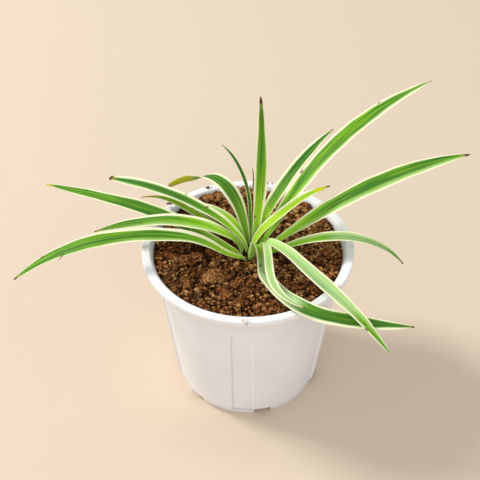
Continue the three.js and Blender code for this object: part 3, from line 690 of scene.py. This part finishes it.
def soil_surface(side=300):
    """The body of the soil. Its top is a square grid bent to a disc, square by square into rings, with three
    sizes of crumb on it; its side goes down inside the pot's wall to a flat bottom, closed at one point. Also
    gives each point's tint and how far it stands out of the hollows, which the finish turns into painted shade
    in the hollows and painted light on the tops."""
    u, v = np.meshgrid(np.linspace(-1, 1, side), np.linspace(-1, 1, side))
    wide = np.abs(u) >= np.abs(v)
    share = np.where(wide, u, v)
    turn = np.where(wide, np.pi / 4 * v / u, np.pi / 2 - np.pi / 4 * u / v)
    angle = np.arctan2(share * np.sin(turn), share * np.cos(turn))
    share = np.abs(share)
    edge = soil_edge(angle)
    reach = np.minimum(wall_radius(edge), wall_radius(LIP_BOTTOM)) - 0.9
    x, y = share * reach * np.cos(angle), share * reach * np.sin(angle)
    cells, seeds, heights, shares = zip(*GRAIN_LAYERS)
    crumbs, tints = zip(*[grains(x, y, cell, seed) for cell, seed in zip(cells, seeds)])
    relief = weighted(heights, crumbs) - 2.4
    height = soil_height(x, y, reach) + relief * (1 - smooth(share, 0.98, 1))
    top = np.stack([x, y, np.where(share > 0.9999, edge, height)], -1).reshape(-1, 3)
    grid = np.arange(side * side).reshape(side, side)
    loop = np.concatenate([grid[0, :-1], grid[:-1, -1], grid[-1, :0:-1], grid[:0:-1, 0]])
    around = angle.ravel()[loop]
    inner = wall_radius(np.array([8.0, 98.0])) - 2.5
    section = ((wall_radius(105) - 1.1, 105), (inner[1], 98), (inner[0], 9), (inner[0] - 1, 7.9))
    points, faces, above = [top], [grid_faces(side, side, False)], loop
    for k, (radius, level) in enumerate(section):
        points.append(polar(radius, around, level))
        below = side * side + k * len(loop) + np.arange(len(loop))
        faces.append(np.stack([below, np.roll(below, -1), np.roll(above, -1), above], 1))
        above = below
    points.append(np.array([[0, 0, section[-1][1]]]))
    faces.append(np.stack([0 * above + above[-1] + 1, np.roll(above, -1), above], 1))
    points = np.concatenate(points)
    values = {"tint": weighted(shares, tints) + drier(x, y), "rise": weighted(shares, crumbs)}
    hidden = np.full(len(points) - len(top), 0.5)
    return points, faces, {key: np.concatenate([value.ravel(), hidden]) for key, value in values.items()}


def solid_shape(mesh):
    """The points and faces of a bmesh, which is then freed."""
    points = np.array([vert.co for vert in mesh.verts])
    faces = np.array([[vert.index for vert in face.verts] for face in mesh.faces])
    mesh.free()
    return points, faces


def pebble():
    """A cube whose sides are split in four, pushed most of the way out to a ball."""
    cube = bmesh.new()
    bmesh.ops.create_cube(cube, size=2.0)
    bmesh.ops.subdivide_edges(cube, edges=cube.edges[:], cuts=1, use_grid_fill=True)
    points, faces = solid_shape(cube)
    length = np.linalg.norm(points, axis=1, keepdims=True)
    return points / length * (0.8 + 0.2 * length), faces


def ball(subdivisions):
    sphere = bmesh.new()
    bmesh.ops.create_icosphere(sphere, subdivisions=subdivisions, radius=1.0)
    return solid_shape(sphere)


def knobs(points, cell, seed):
    """Height from 0 to 1 of round knobs packed in cubic cells, one at a chance place in each, and their tint."""
    home = np.floor(points / cell)
    best, tint = np.zeros(len(points)), np.zeros(len(points))
    for step in np.ndindex(3, 3, 3):
        at = home + np.array(step) - 1
        right, back, up, size, raised, own = draws(at @ np.array(CELL_SEEDS) + seed, 6)
        centre = at + 0.1 + 0.8 * np.stack([right, back, up], -1)
        away = np.linalg.norm(points / cell - centre, axis=1) / (0.55 + 0.4 * size)
        height = dome(away) * (0.5 + 0.5 * raised)
        tint = np.where(height > best, own, tint)
        best = np.maximum(best, height)
    return best, tint


def lumpy(shape, centres, sizes, rough, seed, flat=0.8):
    """Copies of a shape, each stretched, dented by its own sum of plane waves, leaned and turned, so that no two
    are alike. Gives all points, all faces and a chance tint for each point."""
    unit, faces = shape
    count, waves = len(centres), len(DENT_SPEEDS)
    draw = np.random.default_rng(seed)
    stretch = draw.uniform(0.7, 1.2, (count, 1, 3)) * np.array([1, 1, flat])
    way = draw.normal(size=(count, waves, 3)) * np.array(DENT_SPEEDS)[:, None]
    phase = draw.uniform(0, 2 * np.pi, (count, waves, 1))
    strength = (rough / np.array(DENT_FADES))[:, None]
    dent = (strength * np.sin(way @ unit.T + phase)).sum(1)[..., None]
    spin, lean = draw.uniform(0, 2 * np.pi, (count, 1)), draw.uniform(-0.5, 0.5, (count, 1))
    x, y, z = np.moveaxis(unit * (1 + dent) * stretch, -1, 0)
    z, x = rotated(z, x, lean)
    x, y = rotated(x, y, spin)
    points = np.stack([x, y, z], -1) * sizes[:, None, None] + centres[:, None]
    faces = faces + (np.arange(count) * len(unit))[:, None, None]
    tint = draw.uniform(0, 1, count).repeat(len(unit))
    return points.reshape(-1, 3), faces.reshape(-1, faces.shape[-1]), tint


def scattered(count, draw, largest, raised):
    """Centres and sizes of loose crumbs: even places on the soil by the golden angle, nudged by chance, with more
    small crumbs than big ones, and each raised by a chance share of its size."""
    i = np.arange(count)
    size = largest * (0.4 + 0.6 * draw.random(count) ** 2)
    reach = np.minimum(66 * np.sqrt((i + 0.5) / count), SOIL_REACH - 0.5 - size)
    angle = i * GOLDEN_ANGLE + draw.normal(0, 0.05, count)
    x, y = reach * np.cos(angle), reach * np.sin(angle)
    size = size * (1 + 0.3 * smooth(y, 20, 60))
    x, y = x + draw.normal(0, 0.5, count), y + draw.normal(0, 0.5, count)
    return np.stack([x, y, soil_height(x, y) + size * draw.uniform(*raised, count)], 1), size


def clear_of_leaves(centres, sizes, blades):
    """True for crumbs whose centre is further than their own size from every sampled point of the blades."""
    nearest = np.full(len(centres), 1e9)
    for blade in blades:
        nearest = np.minimum(nearest, np.linalg.norm(centres[:, None] - blade[None], axis=2).min(1))
    return nearest > sizes + 0.4


def drier(x, y):
    """Added dryness of the soil's crumbs towards the back and right."""
    return 0.28 * smooth(0.6 * x + 0.8 * y, 5, 45)


def soil_finish(settings):
    """Moist reddish-brown soil: crumbs from brown to dry orange-brown by their own tint, painted light on the raised
    tops of dry crumbs, painted shade in hollows and under crumbs, painted shade in the gaps along the wavering joints
    between packed crumbs of two sizes, and fine pale specks."""
    finish = Finish("soil_crumbly")
    place = finish.place()
    tint, rise = finish.attribute("tint"), finish.attribute("rise")
    patch = finish.noise(place, 45.0, 3.0)
    grain = finish.noise(place, 900.0, 5.0, 0.7)
    speckle = finish.noise(place, 2600.0, 2.0, 0.6)
    sway = [finish.noise(finish.moved(place, (shift,) * 3), 500.0, 2.0) * 0.0016 for shift in (0.0, 0.31, 0.73)]
    moved = finish.moved(place, finish.vector(*sway))
    joint, small_joint = finish.packed(moved, 400.0), finish.packed(moved, 900.0)
    # Painted shade in the gaps between packed crumbs, along the wavering joints
    painted_gap_shade = joint.step(0.14, 0.02) * 0.72 + small_joint.step(0.1, 0.01) * 0.34
    painted_gap_shade = painted_gap_shade * patch.step(0.25, 0.5) * (tint.step(1.0, 0.65) * 0.65 + 0.35)
    worn = tint * 0.6 + patch * 0.4 + (grain - 0.5) * 0.9
    tone = finish.layers(
        settings.dark,
        (worn.step(0.15, 0.5), settings.middle),
        # Painted light: the dry crumbs' light colour goes only on raised tops
        (worn.step(0.48, 0.9) * rise.step(0.3, 0.75), settings.light),
        # Painted shade in the hollows and on the crumbs' undersides
        (rise.step(0.92, 0.4) * 0.9, darkened(settings.dark, 0.4)),
        # Painted shade in the gaps
        (painted_gap_shade, darkened(settings.dark, 0.35)),
        (speckle.step(0.68, 0.76) * 0.3, (0.5, 0.27, 0.12)),
    )
    height = grain * 0.55 + speckle * 0.2 + joint.step(0.0, 0.3) * 0.6 + small_joint.step(0.0, 0.3) * 0.2
    return finish.surface(
        Base_Color=tone, Roughness=0.85 + grain * 0.14, Normal=finish.bump(height, 0.0018),
        Specular_IOR_Level=0.12)


def crown_surface():
    """A turned spindle whose radius swells in five ribs that twist with height, like clasping leaf bases."""
    profile = rounded([
        (0, -13.9), (8.2, -13.9), (8.5, -7), (7.1, -3.5), (5.5, 0), (2.9, 2.2), (1.5, 4), (0, 4.9)], 1.2, 6)
    angle = np.linspace(0, 2 * np.pi, CROWN_SIDES, endpoint=False)[None]
    height = profile[:, 1:]
    radius = profile[:, :1] * (0.95 + 0.05 * np.abs(np.cos(2.5 * angle + 0.12 * height)) ** 0.5)
    return turned(polar(radius, angle, height) + np.array([CROWN_X, CROWN_Y, SOIL_LINE]))


def crown_finish(settings):
    """Pale green-white leaf bases, streaked upwards and stained brown where they meet the soil."""
    finish = Finish("crown_tissue")
    streak = finish.noise(finish.place(), 300.0, 3.0)
    stain = finish.height().step((SOIL_LINE + 2.5) * MM, (SOIL_LINE - 0.5) * MM)
    tone = finish.layers(
        (0.2, 0.34, 0.05), (streak.step(0.3, 0.7), settings.pale), (stain * 0.8, (0.1, 0.05, 0.02)))
    return finish.surface(Base_Color=tone, Roughness=0.45 + streak * 0.1, Normal=finish.bump(streak, 0.0002))


def unit_length(vectors):
    return vectors / np.linalg.norm(vectors, axis=1, keepdims=True)


def bent_taper(start, bend, end, radius):
    """A thread of oval section along the parabola from start to end that bends towards the middle point; its
    radius falls evenly to a fifth and wavers a little, and both ends close in a point."""
    t = np.linspace(0, 1, 26)[:, None]
    start, bend, end = (np.array(point, float) for point in (start, bend, end))
    centre = curved(t, start, bend, end)
    forward = unit_length(2 * (1 - t) * (bend - start) + 2 * t * (end - bend))
    side = unit_length(np.cross(forward, (0.0, 1.0, 0.0)))
    other = 0.55 * np.cross(forward, side)
    angle = np.linspace(0, 2 * np.pi, 12, endpoint=False)[None, :, None]
    width = radius * (1 - 0.8 * t) * (1 + 0.12 * np.sin(17 * t))
    width[0], width[-1] = 0, 0
    return turned(
        centre[:, None] + width[:, None] * (side[:, None] * np.cos(angle) + other[:, None] * np.sin(angle)))


def dry_finish(settings):
    """Dry brown leaf, lighter in patches and finely wrinkled."""
    finish = Finish("leaf_dry")
    place = finish.place()
    patch = finish.noise(place, 400.0, 3.0)
    tone = finish.mix(patch.step(0.35, 0.65), settings.dry, (0.36, 0.15, 0.045))
    return finish.surface(Base_Color=tone, Roughness=0.7 + patch * 0.2, Normal=finish.bump(patch, 0.0003))


def directions(course, distances):
    """The forward direction, the level direction across it and the roll in radians at each distance. Heading,
    rise and roll change evenly between the rows of the course."""
    rows = np.array(course, float)
    heading, rise, roll = (np.radians(np.interp(distances, rows[:, 0], rows[:, k])) for k in (1, 2, 3))
    forward = np.stack([np.cos(rise) * np.cos(heading), np.cos(rise) * np.sin(heading), np.sin(rise)], -1)
    return forward, np.stack([np.sin(heading), -np.cos(heading), 0 * heading], -1), roll


def leaf_lines(seat, course, distances):
    """The centre line, summed in fine steps of its forward direction from the seat, and at each distance the
    side and normal directions, which roll turns about the forward one."""
    seat_angle, seat_distance, seat_height = seat
    around = math.radians(seat_angle)
    start = np.array([
        CROWN_X + seat_distance * math.cos(around), CROWN_Y + seat_distance * math.sin(around),
        SOIL_LINE + seat_height])
    fine = (np.arange(int(course[-1][0] / FINE_STEP)) + 0.5) * FINE_STEP
    path = np.concatenate([np.zeros((1, 3)), np.cumsum(directions(course, fine)[0] * FINE_STEP, 0)])
    marks = np.arange(len(path)) * FINE_STEP
    centre = start + np.stack([np.interp(distances, marks, path[:, k]) for k in range(3)], -1)
    forward, level, roll = directions(course, distances)
    up = np.cross(level, forward)
    turn, lean = np.cos(roll)[:, None], np.sin(roll)[:, None]
    return centre, level * turn + up * lean, up * turn - level * lean


def leaf_blade(name, step):
    """A folded strap: half its width follows a sine from the base share to full width, then narrows by the tip's
    power of t, the share of the length. Across it the halves rise from the midrib by the fold, with fine ribs and
    slow waves, and dip in at spots on the margin. The upper and lower faces lie half the thickness, which thins to
    a rounded edge, to either side. Gives the points, each row's distance and half width, and the places across."""
    width, base_share, (fold_base, fold_tip), (power, left), seat, course = LEAVES[name]
    length = course[-1][0]
    distances = np.linspace(0, length, int(length / step) + 1)
    t = distances / length
    key = 17.0 * list(LEAVES).index(name)
    widening = base_share + (1 - base_share) * np.sin(np.pi / 2 * np.minimum(1, t / 0.5))
    half = width / 2 * widening * (1 - (1 - left) * t**power) * (1 - 0.35 * smooth(t, 1 - 1.2 / length, 1))
    half = half * (1 + 0.018 * np.sin(distances / 7 + key) + 0.012 * np.sin(distances / 2.9 + 2 * key))
    fold = np.radians(fold_base + (fold_tip - fold_base) * np.minimum(1, t / 0.4))
    s = np.sin(np.linspace(-np.pi / 2, np.pi / 2, BLADE_COLUMNS))[None]
    nick = np.zeros((len(distances), BLADE_COLUMNS))
    for along, place, radius in SPOTS.get(name, ()):
        if abs(place) > 0.85:
            near = np.exp(-(((distances - along) / radius) ** 2))[:, None]
            nick = nick + near * 0.12 * (np.sign(place) * s > 0) * np.abs(s)
    spread = (half * np.cos(fold))[:, None] * (s * (1 - nick))
    lift = (half * np.sin(fold))[:, None] * (np.abs(s) ** 1.3 - 0.5)
    wave = 0.22 * np.sin(distances / 11 + key)[:, None] * s + 0.16 * np.sin(distances / 5.3 + key * 1.7)[:, None] * s**2
    ribs = 0.035 * np.cos(np.pi * 9 * s) * (1 - s**2) - 0.06 * np.exp(-((s / 0.06) ** 2))
    settled = smooth(distances, 4, 30)[:, None]
    body = lift + (wave + ribs) * settled * np.minimum(1, half / 3)[:, None]
    thickness = (0.42 + 0.34 * (1 - np.abs(s))) * np.sqrt(np.clip(1 - s**6, 0, 1)) + 0.06
    centre, side, normal = leaf_lines(seat, course, distances)
    middle = centre[:, None] + spread[..., None] * side[:, None] + body[..., None] * normal[:, None]
    offset = (thickness / 2)[..., None] * normal[:, None]
    return np.concatenate([middle + offset, (middle - offset)[:, ::-1]], 1), distances, half, s


def spot_field(name, distances, across_mm, half):
    """How brown each point is from the listed spots: one minus a soft-edged distance to the nearest."""
    brown = np.zeros_like(across_mm)
    for along, place, radius in SPOTS.get(name, ()):
        away = np.hypot(distances - along, across_mm - place * half)
        brown = np.maximum(brown, 1 - smooth(away, radius * 0.5, radius * 1.4))
    return brown


def sheen_along(name, distances):
    """The strength of each listed stretch of the leaf, rising and falling smoothly over 14 mm at its ends."""
    sheen = np.zeros_like(distances)
    for start, end, strength in SHEEN.get(name, ()):
        sheen = sheen + strength * smooth(distances, start - 7, start + 7) * smooth(distances, end + 7, end - 7)
    return sheen


def leaf_values(name, distances, half, across):
    """For each row, a column here, and each place across: the widths in mm of the margin's bands, which wander
    from one 9 mm stretch to the next, the distances to the edge and tip, and where the leaf fades or is spotted."""
    cream_left, cream_right, pale_left, pale_right, dry, faded, tone = LOOKS[name]
    wander = 0.85 + 0.3 * chance(np.floor(distances[:, 0] / 9) + len(name))
    wander = np.convolve(np.pad(wander, 4, "edge"), np.full(9, 1 / 9), "valid")[:, None]
    narrowing = np.minimum(1, half / 3.4) * (0.45 + 0.55 * smooth(distances, 5, 45)) * wander
    if name in NARROWER:
        start, end, share = NARROWER[name]
        narrowing = narrowing * (1 - (1 - share) * smooth(distances, start, end))
    right = smooth(across, -0.2, 0.2)
    left_over = distances[-1] - distances
    return {
        "across": across,
        "along": distances,
        "edge": half * (1 - np.abs(across)),
        "cream": (cream_left + (cream_right - cream_left) * right) * narrowing * CREAM_SHARE,
        "pale": (pale_left + (pale_right - pale_left) * right) * narrowing,
        "left_over": left_over,
        "dry": dry,
        "faded": smooth(left_over, faded + 2, faded - 3) * (faded > 0),
        "tone": tone,
        "under": np.arange(across.shape[1]) >= BLADE_COLUMNS,
        "spot": spot_field(name, distances, half * across, half),
        "sheen": sheen_along(name, distances),
    }


def make_leaf(name, settings, material):
    """One leaf as a closed mesh, with the values that its finish reads at each point."""
    points, distances, half, s = leaf_blade(name, settings.step / MM)
    rows, columns = points.shape[:2]
    k = np.arange(BLADE_COLUMNS - 1)
    base_cap = np.stack([k, columns - 1 - k, columns - 2 - k, k + 1], 1)
    tip_cap = base_cap[:, ::-1] + (rows - 1) * columns
    faces = [part[:, ::-1] for part in (grid_faces(rows, columns, True), base_cap, tip_cap)]
    values = leaf_values(name, distances[:, None], half[:, None], np.concatenate([s, s[:, ::-1]], 1))
    values = {key: np.broadcast_to(value, (rows, columns)).ravel() for key, value in values.items()}
    new_piece(name.replace("leaf_", "blade_"), points.reshape(-1, 3), faces, material, (name,), values)


def leaf_finish(settings):
    """Striped leaf: a green middle that turns yellow-green towards the base, partly its own colour and partly painted
    light through the blade, listed stretches with a painted pale sheen and others made darker, a pale strip that is
    partly painted sheen, a cream margin, lines along the veins, dry brown tip and spots; the underside is paler and
    duller."""
    finish = Finish("leaf_striped")
    across, along, edge, cream, pale, left_over, dry, faded, tone, under, spot, sheen = map(finish.attribute, (
        "across", "along", "edge", "cream", "pale", "left_over", "dry", "faded", "tone", "under", "spot", "sheen"))
    seed = tone * 37.0 + dry * 5.0

    def streaks(per_width, per_mm, start, detail, roughness=0.5):
        return finish.noise(finish.vector(across * per_width, along * per_mm, start), 1.0, detail, roughness)

    wide, streak = streaks(3.2, 0.012, seed, 2.0), streaks(11.0, 0.02, seed, 3.0, 0.6)
    hair, blotch = streaks(34.0, 0.05, seed, 2.0, 0.6), streaks(2.0, 0.09, seed + 3.0, 3.0)
    veins = (across * 42.0).sine() * 0.5 + 0.5
    # Near the base: yellow-green, partly the leaf's own colour and partly painted light shining through the blade
    near_base = along.step(75.0, 4.0)
    fresh_and_backlit = tone * 0.75 + near_base * 0.62 + (streak - 0.5) * 1.9 + (wide - 0.5) * 1.5 + 0.05
    wavering = edge + (streak - 0.5) * 1.1 + (hair - 0.5) * 0.5
    beside = (wavering - cream) / (pale + 0.01)
    margin = (wavering - cream).step(0.3, -0.18)
    ragged = left_over + (blotch - 0.5) * 5.0 * (dry * 0.3) + (hair - 0.5) * 2.0 - dry
    # The cream margin turns yellow near the base, partly its own colour and partly painted light
    rim = finish.mix(near_base.step(0.4, 0.95) * 0.6, settings.cream, (0.74, 0.9, 0.3))
    olive = finish.mix(streak.step(0.35, 0.65), (0.46, 0.5, 0.01), (0.82, 0.74, 0.03))
    colour = finish.layers(
        settings.deep,
        (fresh_and_backlit.step(0.02, 0.95), settings.bright),
        (hair.step(0.5, 0.66) * 0.4, darkened(settings.deep, 0.5)),
        # Yellow-green towards the base, partly its own colour and partly painted light
        (near_base.step(0.5, 1.0) * 0.55, (0.45, 0.74, 0.025)),
        (tone.step(0.75, 1.0) * 0.55, (0.5, 0.68, 0.02)),
        # Streaks of the same base colour and painted light
        (near_base.step(0.3, 0.8) * streak.step(0.5, 0.62) * 0.45, (0.62, 0.84, 0.2)),
        # Listed stretches: below 0 made darker; above 0 a streaky painted pale sheen, a painted highlight
        (sheen * (-1.0), darkened(settings.deep, 0.45)),
        (sheen * (streak * 1.6 + wide * 0.6 - 0.1), (0.62, 0.82, 0.46)),
        (across.absolute().step(0.055, 0.015) * 0.35, darkened(settings.deep, 0.5)),
        # Pale strip beside the margin, partly the leaf's own pale band and partly painted sheen
        (beside.step(1.25, 0.0) * 0.8, settings.pale),
        (margin, rim),
        (veins * (1 - margin) * 0.1, (0.4, 0.62, 0.06)),
        (under * 0.28, settings.pale),
        (faded * 0.92, olive),
        (ragged.step(5.0, 0.0) * 0.45, (0.5, 0.42, 0.08)),
        (ragged.step(0.6, -0.4), settings.dry),
        (spot, settings.dry),
    )
    relief = veins * 0.5 + streak * 0.3 + hair * 0.2
    return finish.surface(
        Base_Color=colour, Roughness=0.4 + streak * 0.14 + under * 0.14 + margin * 0.06,
        Normal=finish.bump(relief, 0.00022, 0.7), Specular_IOR_Level=0.16,
        Subsurface_Weight=0.3, Subsurface_Radius=(0.9, 1.0, 0.35), Subsurface_Scale=0.0007)


def looking(direction):
    """The rotation of a light or camera that looks in a direction."""
    return direction.to_track_quat("-Z", "Y").to_euler()


class PLANT_OT_pot(bpy.types.Operator):
    """Make the moulded nursery pot"""

    bl_idname = "plant.make_pot"
    bl_label = "Pot"

    def execute(self, context):
        settings = context.scene.plant_pot
        points, faces, values = pot_surface(settings)
        new_piece("pot_moulding", points, faces, pot_finish(settings), ("pot",), values)
        return {"FINISHED"}


class PLANT_OT_soil(bpy.types.Operator):
    """Make the soil: its body, loose crumbs and larger clods"""

    bl_idname = "plant.make_soil"
    bl_label = "Soil"

    def execute(self, context):
        settings = context.scene.plant_soil
        material = soil_finish(settings)
        points, faces, values = soil_surface()
        new_piece("soil_bed", points, faces, material, ("soil",), values)
        blades = [leaf_blade(name, 4.0)[0][:, ::5].reshape(-1, 3) for name in LEAVES]
        draw = np.random.default_rng(11)
        centres, size = scattered(settings.crumbs, draw, largest=1.95, raised=(-0.3, 0.5))
        fallen = np.array(FALLEN)
        centres = np.concatenate([centres, fallen[:, :3] + np.array([0, 0, POT_HEIGHT])])
        size = np.concatenate([size, fallen[:, 3]])
        self.add_crumbs("soil_crumbs", pebble(), centres, size, blades, material, rough=0.13, seed=5)
        centres, size = scattered(settings.pebbles, draw, largest=4.0, raised=(-0.45, 0.2))
        for name, fineness, low, high, seed in LUMP_SIZES:
            part = (size >= low) & (size < high)
            shape = ball(fineness) if fineness else pebble()
            self.add_crumbs(name, shape, centres[part], size[part], blades, material, rough=0.12, seed=seed)
        clods = np.array(CLODS)
        level = soil_height(clods[:, 0], clods[:, 1]) - clods[:, 3] * 0.8
        centres = np.concatenate([clods[:, :2], level[:, None]], 1)
        self.add_crumbs(
            "soil_clods", ball(4), centres, clods[:, 2] * 0.9, [], material, rough=0.075, seed=7, dryness=clods[:, 4])
        return {"FINISHED"}

    def add_crumbs(self, name, shape, centres, sizes, blades, material, rough, seed, dryness=None):
        """Crumbs of one shape as one piece, without those that would touch a blade. Where the shape is fine
        enough, two sizes of knob stand out from each crumb's middle. A dryness stands in for the chance tint."""
        keep = clear_of_leaves(centres, sizes, blades)
        points, faces, tint = lumpy(shape, centres[keep], sizes[keep], rough, seed)
        count = len(shape[0])
        fine = count > 100
        middle = centres[keep].repeat(count, 0)
        reach = sizes[keep].repeat(count)[:, None]
        # Height within each crumb, low at its bottom, which the finish turns into painted shade below and painted light
        # on top
        rise = 0.5 + 0.5 * (points - middle)[:, 2] / reach[:, 0]
        tint = tint + drier(middle[:, 0], middle[:, 1])
        if dryness is not None:
            tint = dryness[keep].repeat(count)
        for cell, depth, share in KNOB_LAYERS if fine else ():
            height, own = knobs(points, cell, seed)
            points = points + (points - middle) / reach * (height[:, None] - 0.5) * depth
            tint = tint * (1 - share) + own * share
            rise = rise + (height - 0.5) * 0.6
        new_piece(name, points, [faces], material, (), {"tint": tint, "rise": rise}, fine)


class PLANT_OT_crown(bpy.types.Operator):
    """Make the crown that the leaves grow from"""

    bl_idname = "plant.make_crown"
    bl_label = "Crown"

    def execute(self, context):
        points, faces = crown_surface()
        material = crown_finish(context.scene.plant_leaves)
        new_piece("crown_bases", points, faces, material, ("crown",))
        return {"FINISHED"}


class PLANT_OT_leaves(bpy.types.Operator):
    """Make the striped leaves"""

    bl_idname = "plant.make_leaves"
    bl_label = "Leaves"

    def execute(self, context):
        settings = context.scene.plant_leaves
        material = leaf_finish(settings)
        for name in LEAVES:
            make_leaf(name, settings, material)
        withered = dry_finish(settings)
        for name, start, bend, end, radius in THREADS:
            points, faces = bent_taper(start, bend, end, radius)
            new_piece(name, points, faces, withered)
        return {"FINISHED"}


class PLANT_OT_stage(bpy.types.Operator):
    """Make the floor, the lights and the camera"""

    bl_idname = "plant.make_stage"
    bl_label = "Stage"

    def execute(self, context):
        settings = context.scene.plant_stage
        self.add_floor(settings)
        for name, (place, aim, side, colour) in LIGHTS.items():
            data = bpy.data.lights.new(name, "AREA")
            data.energy, data.size, data.color = getattr(settings, name), side, colour
            light = placed(name, data)
            light.location = place
            light.rotation_euler = looking(Vector((0, 0, aim)) - light.location)
        world = bpy.data.worlds.new("studio")
        world.use_nodes = True
        background = world.node_tree.nodes["Background"]
        background.inputs["Color"].default_value = (0.98, 0.985, 1.0, 1.0)
        background.inputs["Strength"].default_value = settings.sky
        context.scene.world = world
        context.scene.view_settings.view_transform = "Standard"
        self.add_camera(settings, context)
        return {"FINISHED"}

    def add_floor(self, settings):
        """A square of pale paper, a little cloudy."""
        finish = Finish("floor_paper")
        cloud = finish.noise(finish.place(), 3.0, 2.0)
        tone = finish.mix(cloud, settings.floor, darkened(settings.floor, 0.98))
        mesh = bpy.data.meshes.new("floor")
        corners = [(x * FLOOR_HALF_SIDE, y * FLOOR_HALF_SIDE, 0) for x, y in ((-1, -1), (1, -1), (1, 1), (-1, 1))]
        mesh.from_pydata(corners, [], [(0, 1, 2, 3)])
        mesh.materials.append(finish.surface(Base_Color=tone, Roughness=0.9, Specular_IOR_Level=0.2))
        floor = placed("floor", mesh)

    def add_camera(self, settings, context):
        """A camera behind its target by the distance, and over it by the height angle."""
        data = bpy.data.cameras.new("camera")
        data.sensor_width = 36.0
        data.lens = settings.lens
        camera = placed("camera", data)
        back = Vector((0, -math.cos(settings.elevation), math.sin(settings.elevation)))
        camera.location = Vector(CAMERA_TARGET) * MM + back * settings.distance
        camera.rotation_euler = looking(-back)
        context.scene.camera = camera


class PLANT_PT_panel(bpy.types.Panel):
    """The steps that dress the plant"""

    bl_label = "Potted Spider Plant"
    bl_space_type = "VIEW_3D"
    bl_region_type = "UI"
    bl_category = "Plant"

    def draw(self, context):
        column = self.layout.column()
        for operator in OPERATORS:
            column.operator(operator.bl_idname)


OPERATORS = (PLANT_OT_stage, PLANT_OT_pot, PLANT_OT_soil, PLANT_OT_crown, PLANT_OT_leaves)
GROUPS = {
    "plant_pot": PotSettings,
    "plant_soil": SoilSettings,
    "plant_leaves": LeafSettings,
    "plant_stage": StageSettings,
}


def register():
    for name, group in GROUPS.items():
        bpy.utils.register_class(group)
        setattr(bpy.types.Scene, name, bpy.props.PointerProperty(type=group))
    for operator in OPERATORS:
        bpy.utils.register_class(operator)
    bpy.utils.register_class(PLANT_PT_panel)


def unregister():
    bpy.utils.unregister_class(PLANT_PT_panel)
    for operator in reversed(OPERATORS):
        bpy.utils.unregister_class(operator)
    for name, group in GROUPS.items():
        delattr(bpy.types.Scene, name)
        bpy.utils.unregister_class(group)


def main():
    register()
    bpy.ops.plant.make_stage()
    bpy.ops.plant.make_pot()
    bpy.ops.plant.make_soil()
    bpy.ops.plant.make_crown()
    bpy.ops.plant.make_leaves()


if __name__ == "__main__":
    main()
